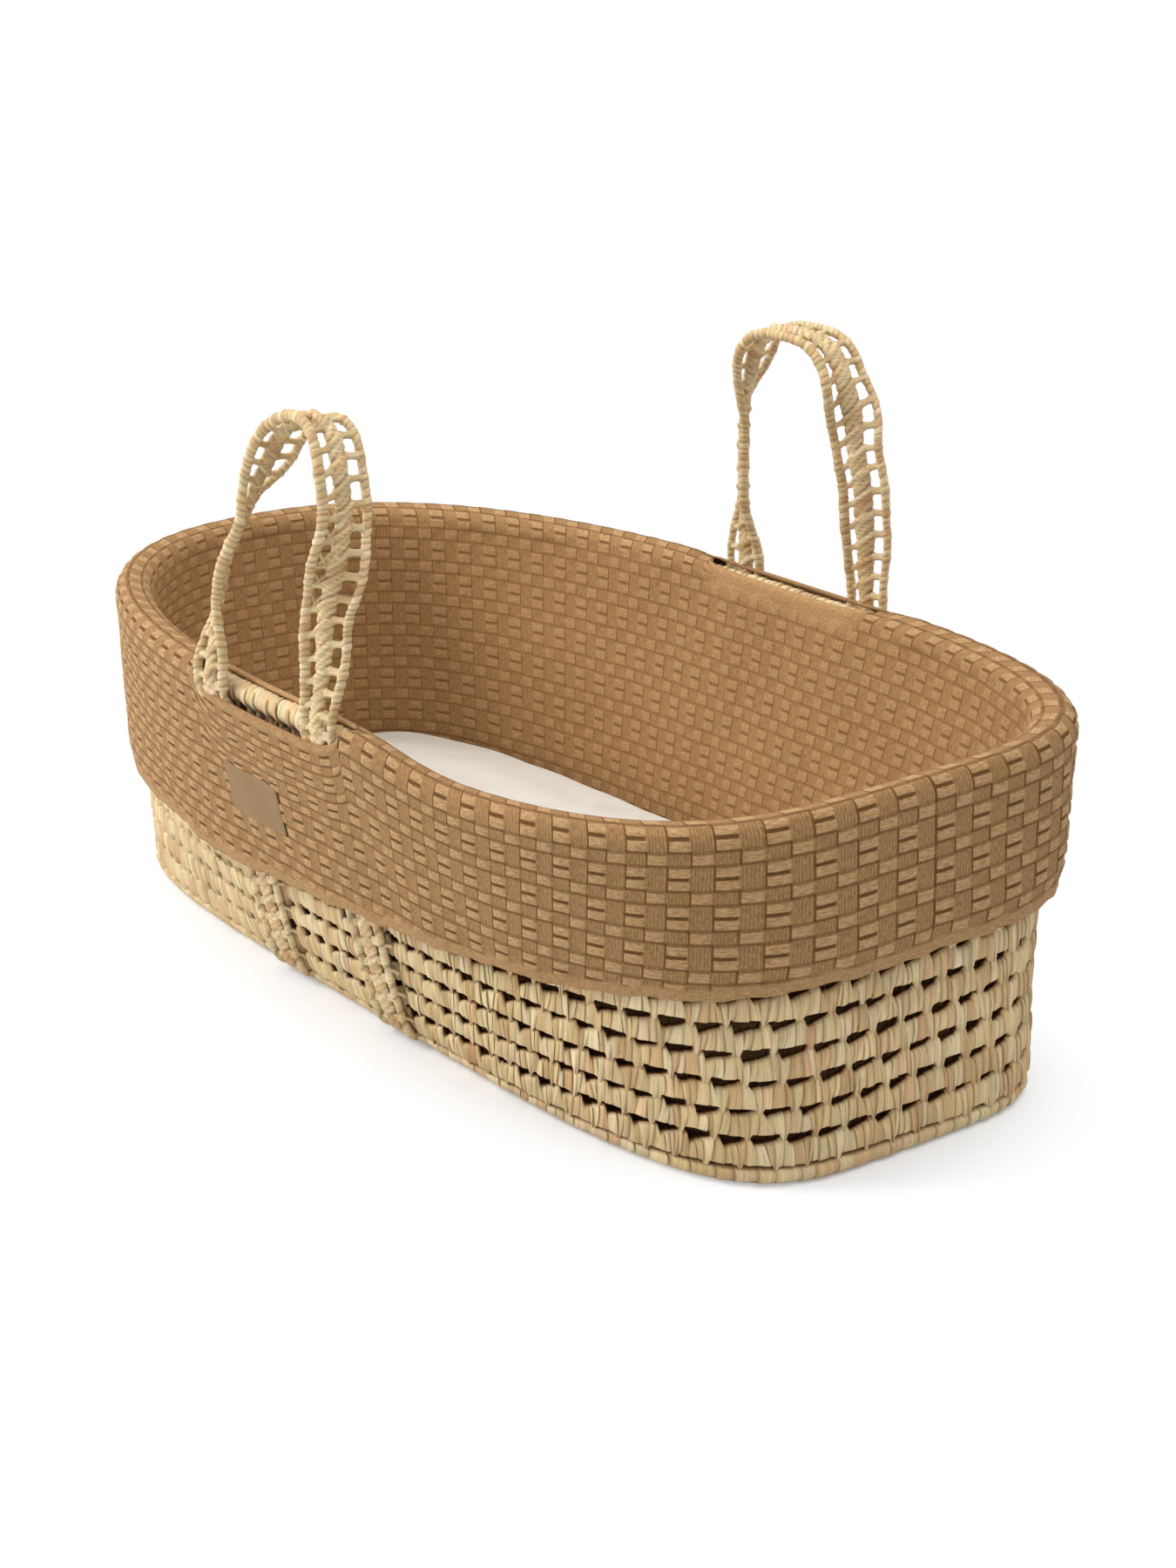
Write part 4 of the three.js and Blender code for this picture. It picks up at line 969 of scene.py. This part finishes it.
def knit_group():
    """The basket's knit from a lay in metres: blocks of two bars and of one bar, raised and
    lighter, with a sunk dash between bars and sunk lines round the blocks, both painted dark as
    shade, and fine ribs and stitches over the rest. Bars sets how much the bars show; Plain wipes
    the pattern out."""
    group = shades("basket_knit", [
        ("Lay", "NodeSocketVector", None), ("Bars", "NodeSocketFloat", 1.0),
        ("Plain", "NodeSocketFloat", 0.0), ("Place", "NodeSocketVector", None),
        ("Tone And Painted Light", "NodeSocketFloat", 1.0),
    ], [("Colour", "NodeSocketColor"), ("Height", "NodeSocketFloat")])
    n = Finish(group)
    given = n.add("NodeGroupInput").outputs
    lay = n.add("ShaderNodeSeparateXYZ", {0: given["Lay"]}).outputs
    fu = n.calc("FRACT", n.calc("DIVIDE", lay[0], float(KNIT_UNIT[0])))
    fv = n.calc("FRACT", n.calc("DIVIDE", lay[1], float(KNIT_UNIT[1])))

    def band(value, low, high, soft):
        rise = n.calc("DIVIDE", n.calc("SUBTRACT", value, low - soft / 2), soft, clamp=True)
        fall = n.calc("DIVIDE", n.calc("SUBTRACT", high + soft / 2, value), soft, clamp=True)
        return n.times(rise, fall)

    def total(values):
        result = values[0]
        for value in values[1:]:
            result = n.calc("ADD", result, value, clamp=True)
        return result

    first, second = band(fu, 0.02, 0.52, 0.03), band(fu, 0.52, 0.98, 0.03)
    bars = total([
        n.times(first, total([band(fv, 0.045, 0.285, 0.03), band(fv, 0.365, 0.605, 0.03)])),
        n.times(second, band(fv, 0.69, 0.955, 0.03))])
    stitch = n.calc("SINE", n.times(lay[0], TAU / STITCH_PITCH))
    bead = n.calc("SINE", n.times(lay[1], TAU / BEAD_PITCH))
    jagged = n.line(stitch, 0.2, 0.75)
    whole = float(KNIT_UNITS_ROUND * KNIT_UNIT[0])
    seam = total([band(lay[0], -0.001, 0.0008, 0.0004), band(lay[0], whole - 0.0008, whole + 0.001, 0.0004)])
    lines = total([
        n.times(band(fv, 0.612, 0.683, 0.02), n.times(jagged, n.line(first, 0.5, 0.5))),
        n.times(total([band(fv, -0.02, 0.034, 0.02), band(fv, 0.966, 1.02, 0.02)]),
                n.times(jagged, n.line(second, 0.3, 0.6))),
        n.times(seam, 0.6),
        n.times(total([band(fu, -0.02, 0.028, 0.015), band(fu, 0.988, 1.02, 0.015)]),
                n.line(band(fv, 0.0, 0.65, 0.02), 0.75, 0.1)),
        n.times(band(fu, 0.493, 0.533, 0.015), n.line(band(fv, 0.65, 1.0, 0.02), 0.75, 0.1))])
    dash = n.times(band(fu, -0.01, 0.48, 0.02), band(fv, 0.286, 0.362, 0.02))

    def yarn(scale_u, scale_v):
        """Noise drawn out one way over the lay, spread to its full range."""
        drawn = n.noise(n.scaled(given["Lay"], (scale_u, scale_v, 1)), 1.0, 2.0)
        return n.add("ShaderNodeMapRange", {0: drawn, 1: 0.34, 2: 0.66}).outputs[0]

    rib_yarn, bar_yarn = yarn(760, 260), yarn(220, 700)
    ribs = n.line(stitch, 0.22, n.line(rib_yarn, 0.6, 0.2))
    ribs = n.calc("ADD", ribs, n.times(stitch, bead, 0.2), clamp=True)
    patterned = n.calc("SUBTRACT", 1.0, given["Plain"])
    shown = n.times(patterned, bars, given["Bars"])
    sunk = n.times(patterned, total([dash, lines]), given["Bars"])
    fuzz = n.noise(given["Place"], 900.0, 2.0)
    patch = n.noise(given["Place"], 14.0, 3.0)
    base = n.mix("MIX", ribs, tint(118, 86, 51), tint(158, 122, 81))
    bar = n.mix("MIX", bar_yarn, tint(144, 110, 71), tint(176, 141, 100))
    base = n.mix("MIX", n.times(given["Plain"], 0.6), base, bar)
    colour = n.mix("MIX", shown, base, bar)
    # Painted shade: the sunk dash and lines are painted dark brown
    colour = n.mix("MIX", n.times(sunk, 0.85), colour, tint(84, 52, 18))
    tone = n.calc("ADD", n.line(fuzz, 0.60, 0.62), n.times(patch, 0.16))
    colour = n.mix("MULTIPLY", 1.0, colour, n.grey(n.times(tone, given["Tone And Painted Light"])))
    height = n.calc("ADD", n.times(shown, 0.9), n.times(ribs, 0.22))
    height = n.calc("SUBTRACT", height, n.times(sunk, 0.8))
    height = n.line(fuzz, 0.25, height)
    out = n.add("NodeGroupOutput")
    n.give(out.inputs["Colour"], colour)
    n.give(out.inputs["Height"], height)
    return group


BASKET_KNIT = knit_group()


def knit_material(name):
    """A finish of the cover's knit, with fainter bars where the cloth lies inside, and lighter there
    as painted light.
    """
    material, n = new_finish(name)
    inside = n.mark("inside", "Fac")
    # Painted light: inside, the knit's colour is scaled up further than outside
    knit = n.add("ShaderNodeGroup", {
        "Lay": n.lay(), "Place": n.place(), "Plain": n.mark("plain", "Fac"),
        "Bars": n.line(inside, -0.5, 1.0), "Tone And Painted Light": n.line(inside, 0.20, 1.10)},
        node_tree=BASKET_KNIT).outputs
    n.surface({
        "Base Color": knit["Colour"], "Roughness": 0.9,
        "Normal": n.bump(knit["Height"], 0.0008, 0.8), "Specular IOR Level": 0.2})
    return material


cover_knit = knit_material("cover_knit")
skirt = grid_piece("knitted_skirt", [skirt_grid()], cover_knit)
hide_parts("knitted_cover")
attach(skirt, "basket")
lining = grid_piece("knitted_lining", [lining_grid()], cover_knit)
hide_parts("knitted_cover")
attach(lining, "basket")


# --- Slot bands ---
# A narrow folded band of plain knit finishes the lining's edge along the inside of each slot.
# Its ends swing up over the roll and close into the fold.
BAND_HALF_LENGTH = 0.0945
BAND_REACH = 0.0101


def slot_band(side):
    """A flat oval roll along the roll's inner top. Its ends swing up and close into the fold."""
    count = 120
    x = handle_x(side) + np.linspace(-BAND_HALF_LENGTH, BAND_HALF_LENGTH, count)
    centre = side_point(x, np.full(count, ROLL_SHARE), ROLL_OFFSET, side)
    bearing = np.arctan2(centre[:, 1] - FRAME_SHIFT[1], centre[:, 0] - FRAME_SHIFT[0] - WIDEST_X)
    ends = np.sqrt(np.clip(1 - np.abs(np.linspace(-1, 1, count)) ** 12, 0, 1))[:, None]
    angle = tube_angles(16)
    middle = 90 + (40 if side < 0 else 62) * slot_open(bearing)[:, None]
    lie = np.radians(middle) + (0.50 if side < 0 else 0.40) * np.cos(angle) * ends
    reach = BAND_REACH + 0.0021 * np.sin(angle) * ends
    offset = ROLL_OFFSET + reach * np.cos(lie)
    points = wall_point(bearing[:, None], ROLL_SHARE, offset, reach * np.sin(lie))
    uv = np.stack(np.broadcast_arrays(x[:, None], np.linspace(0, 0.03, 17)), -1)
    # Marked as inside all over, the band's knit gets the lining's painted light
    marks = {"plain": np.ones((count, 16, 1)), "inside": np.full((count, 16, 1), 1.0)}
    return points, uv, marks, False, True


band_knit = knit_material("band_knit")
for side, name in ((-1, "front_slot_binding"), (1, "back_slot_binding")):
    band = grid_piece(f"folded_{name}", [slot_band(side)], band_knit)
    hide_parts(name)
    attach(band, "basket")


# --- Elastic ---
# A flat white elastic lies in the hem's channel, out of sight. Its shape is the frame's own
# solid, and only its finish is made here.
elastic_finish, n = new_finish("hem_elastic")
weave = n.wave(n.place(), 420.0, 0.4, "Z")
n.surface({
    "Base Color": n.ramp(weave, [(0, tint(206, 202, 192)), (1, tint(236, 233, 226))]),
    "Normal": n.bump(weave, 0.0003), "Roughness": 0.8})
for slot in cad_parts["hem_elastic"].material_slots:
    slot.material = elastic_finish


# --- Patch ---
# A small patch of smooth cloth, stitched round its edge to the front of the skirt. Its face is
# bare.
LABEL_X = -0.025
LABEL_SHARE = 0.65
LABEL_HALF = np.array([0.036, 0.0195])


def patch_grid():
    """A thin pillow over the skirt: its face follows the skirt's outside, and its thickness goes
    to nothing at the rounded edge, with a stitched groove just inside it."""
    u, v = np.meshgrid(np.linspace(-1, 1, 91), np.linspace(-1, 1, 51), indexing="ij")
    corner = 1 - 0.03 * (np.abs(u) ** 8 * np.abs(v) ** 8)
    x = LABEL_X + LABEL_HALF[0] * u * corner
    share = LABEL_SHARE + LABEL_HALF[1] * v * corner / RIM_TOP
    edge = np.minimum((1 - np.abs(u)) * LABEL_HALF[0], (1 - np.abs(v)) * LABEL_HALF[1])
    thick = 0.0008 * np.clip(edge / 0.0009, 0, 1) ** 0.5 - 0.0004 * np.exp(-((edge - 0.0032) / 0.0006) ** 2)
    flat = side_point(x.ravel(), share.ravel(), 0.0, -1).reshape(*u.shape, 3)
    bearing = np.arctan2(flat[..., 1] - FRAME_SHIFT[1], flat[..., 0] - FRAME_SHIFT[0] - WIDEST_X)
    points = wall_point(bearing, share, SKIRT_OFFSET + 0.0009 + skirt_ripple(bearing, share) + thick)
    uv = np.stack([x, share * RIM_TOP], -1)
    return points, uv, {"edge": edge[..., None]}, False, False


patch_finish, n = new_finish("patch_cloth")
patch_lay = n.lay()
twill = n.wave(patch_lay, 380.0, 0.6, "DIAGONAL")
run_along = n.add("ShaderNodeSeparateXYZ", {0: patch_lay}).outputs
stitch_wave = n.calc("SINE", n.times(n.calc("ADD", run_along[0], run_along[1]), TAU / 0.0032))
in_line = n.calc("COMPARE", n.mark("edge", "Fac"), 0.0030, 0.0005)
stitches = n.times(in_line, n.calc("GREATER_THAN", stitch_wave, -0.2))
cloth = n.ramp(twill, [(0, tint(122, 93, 54)), (1, tint(142, 111, 69))])
n.surface({
    "Base Color": n.mix("MIX", stitches, cloth, tint(152, 120, 80)), "Roughness": 0.75,
    "Normal": n.bump(n.line(stitches, 2.0, twill), 0.0004, 0.5)})
patch = grid_piece("bare_patch", [patch_grid()], patch_finish)
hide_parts("label_patch")
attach(patch, "basket")


# --- Mattress ---
# A foam core in a cream cotton cover, which pulls in at its sides, and closes with a zip at the
# foot end.
MATTRESS_HEIGHT = 0.052
MATTRESS_CROWN = 0.01045
MATTRESS_BOTTOM = 0.0118
MATTRESS_EDGE = 0.012
MATTRESS_PULL = 0.0032
MATTRESS_REACH = 0.1290
MATTRESS_GAP = 0.027
MATTRESS_SPREAD = 0.011


def pad_grid(inset, stations, wrinkles):
    """A pad in the outline of the floor. Its profile goes from near the middle of the underside,
    round the lower edge, in along the side, round the upper edge, and up the crown. It stops
    short of the middle line, so a slit is left open there."""
    edge_angle = np.linspace(-90, 0, 9) * math.pi / 180
    low_in = MATTRESS_EDGE - MATTRESS_EDGE * np.cos(edge_angle)
    low_up = MATTRESS_EDGE + MATTRESS_EDGE * np.sin(edge_angle)
    side_up = np.linspace(MATTRESS_EDGE, MATTRESS_HEIGHT - MATTRESS_EDGE, 13)[1:-1]
    pull = MATTRESS_PULL * np.sin(
        math.pi * (side_up - MATTRESS_EDGE) / (MATTRESS_HEIGHT - 2 * MATTRESS_EDGE))
    top_in = np.linspace(0.014, MATTRESS_REACH, 44)
    crown = MATTRESS_HEIGHT + MATTRESS_CROWN * smooth(0.010, 0.075, top_in)
    base_in = np.linspace(MATTRESS_REACH, 0.014, 14)
    draw = np.concatenate([base_in, low_in, pull, low_in[::-1], top_in])
    height = np.concatenate([np.zeros(14), low_up, side_up, MATTRESS_HEIGHT - low_up[::-1], crown])
    bearing = bearing_at(np.arange(stations) / stations, 0.05)[:, None]
    along = wall_point(bearing, 0.05)[..., 0]
    follow = smooth(0.004, MATTRESS_HEIGHT - 0.010, height) * (1 - smooth(0.10, 0.28, along))
    points = wall_point(bearing, 0.05, MATTRESS_SPREAD * follow - (MATTRESS_GAP + inset + draw))
    points[..., 2] = MATTRESS_BOTTOM + inset + height * (1 - 2 * inset / MATTRESS_HEIGHT)
    x, y = points[..., 0], points[..., 1]
    soft = 0.0006 * np.sin(38 * x + 14 * np.sin(9 * y)) * np.sin(31 * y + 2)
    soft = soft + 0.0004 * np.sin(90 * x - 60 * y)
    points[..., 2] += wrinkles * soft * (height > 0.03)
    run = np.concatenate([[0], np.cumsum(np.hypot(np.diff(draw), np.diff(height)))])
    uv = np.stack(np.broadcast_arrays(np.linspace(0, 2.0, stations + 1)[:, None], run), -1)
    return points, uv, {"plain": np.ones((*points.shape[:2], 1))}, True, False


cotton_finish, n = new_finish("cream_cotton")
cotton_place = n.place()
cotton_weave = n.times(n.wave(cotton_place, 560.0, 0.5, "X"), n.wave(cotton_place, 560.0, 0.5, "Y"))
slub = n.noise(cotton_place, 30.0, 5.0)
cotton_tone = n.ramp(n.calc("ADD", n.times(cotton_weave, 0.3), n.times(slub, 0.7)), [
    (0.2, tint(208, 202, 190)), (0.8, tint(226, 223, 214))])
n.surface({
    "Base Color": cotton_tone, "Roughness": 0.85, "Sheen Weight": 0.15,
    "Normal": n.bump(n.line(slub, 1.5, cotton_weave), 0.0004, 0.35)})
pad = grid_piece("cotton_mattress", [pad_grid(0.0, 360, 1.0)], cotton_finish)
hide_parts("mattress_cover")
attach(pad, "mattress")

foam_finish, n = new_finish("foam")
cells = n.add("ShaderNodeTexVoronoi", {"Vector": n.place(), "Scale": 700.0}).outputs["Distance"]
n.surface({
    "Base Color": n.ramp(cells, [(0, tint(196, 190, 160)), (1, tint(240, 235, 208))]),
    "Normal": n.bump(cells, 0.0004), "Roughness": 0.95})
foam_core = grid_piece("foam_core", [pad_grid(0.003, 180, 0.0)], foam_finish)
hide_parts("mattress_foam")
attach(foam_core, "mattress")

zip_finish, n = new_finish("zip_tape")
teeth = n.wave(n.place(), 130.0, 0.0, "Y")
n.surface({
    "Base Color": n.ramp(teeth, [(0.3, tint(196, 190, 178)), (0.7, tint(232, 228, 218))]),
    "Normal": n.bump(teeth, 0.0006), "Roughness": 0.5})
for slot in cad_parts["mattress_zip"].material_slots:
    slot.material = zip_finish


# --- Stage ---
# A pale floor that goes to white away from the basket, two soft lamps in a white room, and a
# camera that looks down at the head end from the front.
CAMERA_AZIMUTH = math.radians(52.95)
CAMERA_ELEVATION = math.radians(19.32)
CAMERA_DISTANCE = 2.12644
CAMERA_LENS = 66.293
back = np.array([
    math.sin(CAMERA_AZIMUTH) * math.cos(CAMERA_ELEVATION),
    -math.cos(CAMERA_AZIMUTH) * math.cos(CAMERA_ELEVATION),
    math.sin(CAMERA_ELEVATION)])
right = np.array([math.cos(CAMERA_AZIMUTH), math.sin(CAMERA_AZIMUTH), 0.0])
up = np.cross(back, right)
target = np.array([0, 0, 0.120]) + right * 0.040 + up * 0.01007 + FRAME_SHIFT
camera_data = bpy.data.cameras.new("camera")
camera_data.lens = CAMERA_LENS
camera_data.sensor_width = 36
camera = in_scene("camera", camera_data)
camera.matrix_world = Matrix.Translation(Vector(target + back * CAMERA_DISTANCE)) @ Matrix(
    np.stack([right, up, back], 1).tolist()).to_4x4()
bpy.context.scene.camera = camera
bpy.context.scene.view_settings.view_transform = "Standard"

floor_mesh = bpy.data.meshes.new("floor")
reach = 12.0
corners = [(-reach, -reach), (reach, -reach), (reach, reach), (-reach, reach)]
floor_mesh.from_pydata([(x, y, -0.0004) for x, y in corners], [], [(0, 1, 2, 3)])
floor = in_scene("floor", floor_mesh)
floor_material, n = new_finish("floor")
n.surface({"Base Color": (0.86, 0.89, 0.93, 1), "Roughness": 0.9})
# Seen straight, the floor goes to plain white away from the basket, and keeps its shadow near it
floor_oval = n.add("ShaderNodeVectorMath", {0: n.place(), 1: (2.2, 5.0, 0)}, operation="MULTIPLY")
floor_reach = n.add("ShaderNodeVectorMath", {0: floor_oval.outputs["Vector"]}, operation="LENGTH")
path = n.add("ShaderNodeLightPath").outputs["Is Camera Ray"]
away = n.add("ShaderNodeMapRange", {0: floor_reach.outputs["Value"], 1: 0.98, 2: 1.24}).outputs[0]
away = n.times(away, path)
lit = n.add("ShaderNodeEmission", {"Color": (1, 1, 1, 1), "Strength": n.times(path, 0.13)})
near_floor = n.add("ShaderNodeAddShader", {0: n.shader.outputs[0], 1: lit.outputs[0]})
white_floor = n.add("ShaderNodeEmission", {"Color": (1, 1, 1, 1), "Strength": 1.0})
floor_mix = n.add(
    "ShaderNodeMixShader", {0: away, 1: near_floor.outputs[0], 2: white_floor.outputs[0]})
n.give(floor_material.node_tree.nodes["Material Output"].inputs["Surface"], floor_mix.outputs[0])
floor.data.materials.append(floor_material)

world = bpy.data.worlds.new("studio")
bpy.context.scene.world = world
world.use_nodes = True
n = Finish(world.node_tree)
world_background = world.node_tree.nodes["Background"]
world_background.inputs["Color"].default_value = (1, 1, 1, 1)
world_background.inputs["Strength"].default_value = 0.60
path = n.add("ShaderNodeLightPath")
seen = n.calc("MAXIMUM", path.outputs["Is Camera Ray"], path.outputs["Is Glossy Ray"])
white = n.add("ShaderNodeBackground", {"Color": (1, 1, 1, 1), "Strength": 1.0})
blend = n.add("ShaderNodeMixShader", {0: seen, 1: world_background.outputs[0], 2: white.outputs[0]})
n.give(world.node_tree.nodes["World Output"].inputs["Surface"], blend.outputs[0])


def soft_lamp(name, place, size, energy):
    """A square area lamp that looks at the basket's middle."""
    data = bpy.data.lights.new(name, "AREA")
    data.shape, data.size, data.energy = "SQUARE", size, energy
    lamp = in_scene(name, data)
    toward = Vector((0, 0, 0.15)) - Vector(place)
    lamp.matrix_world = Matrix.Translation(place) @ toward.to_track_quat("-Z", "Y").to_matrix().to_4x4()


soft_lamp("key", (-2.0, -2.2, 1.9), 2.0, 96)
soft_lamp("top", (0.3, 0.3, 2.8), 2.4, 54)
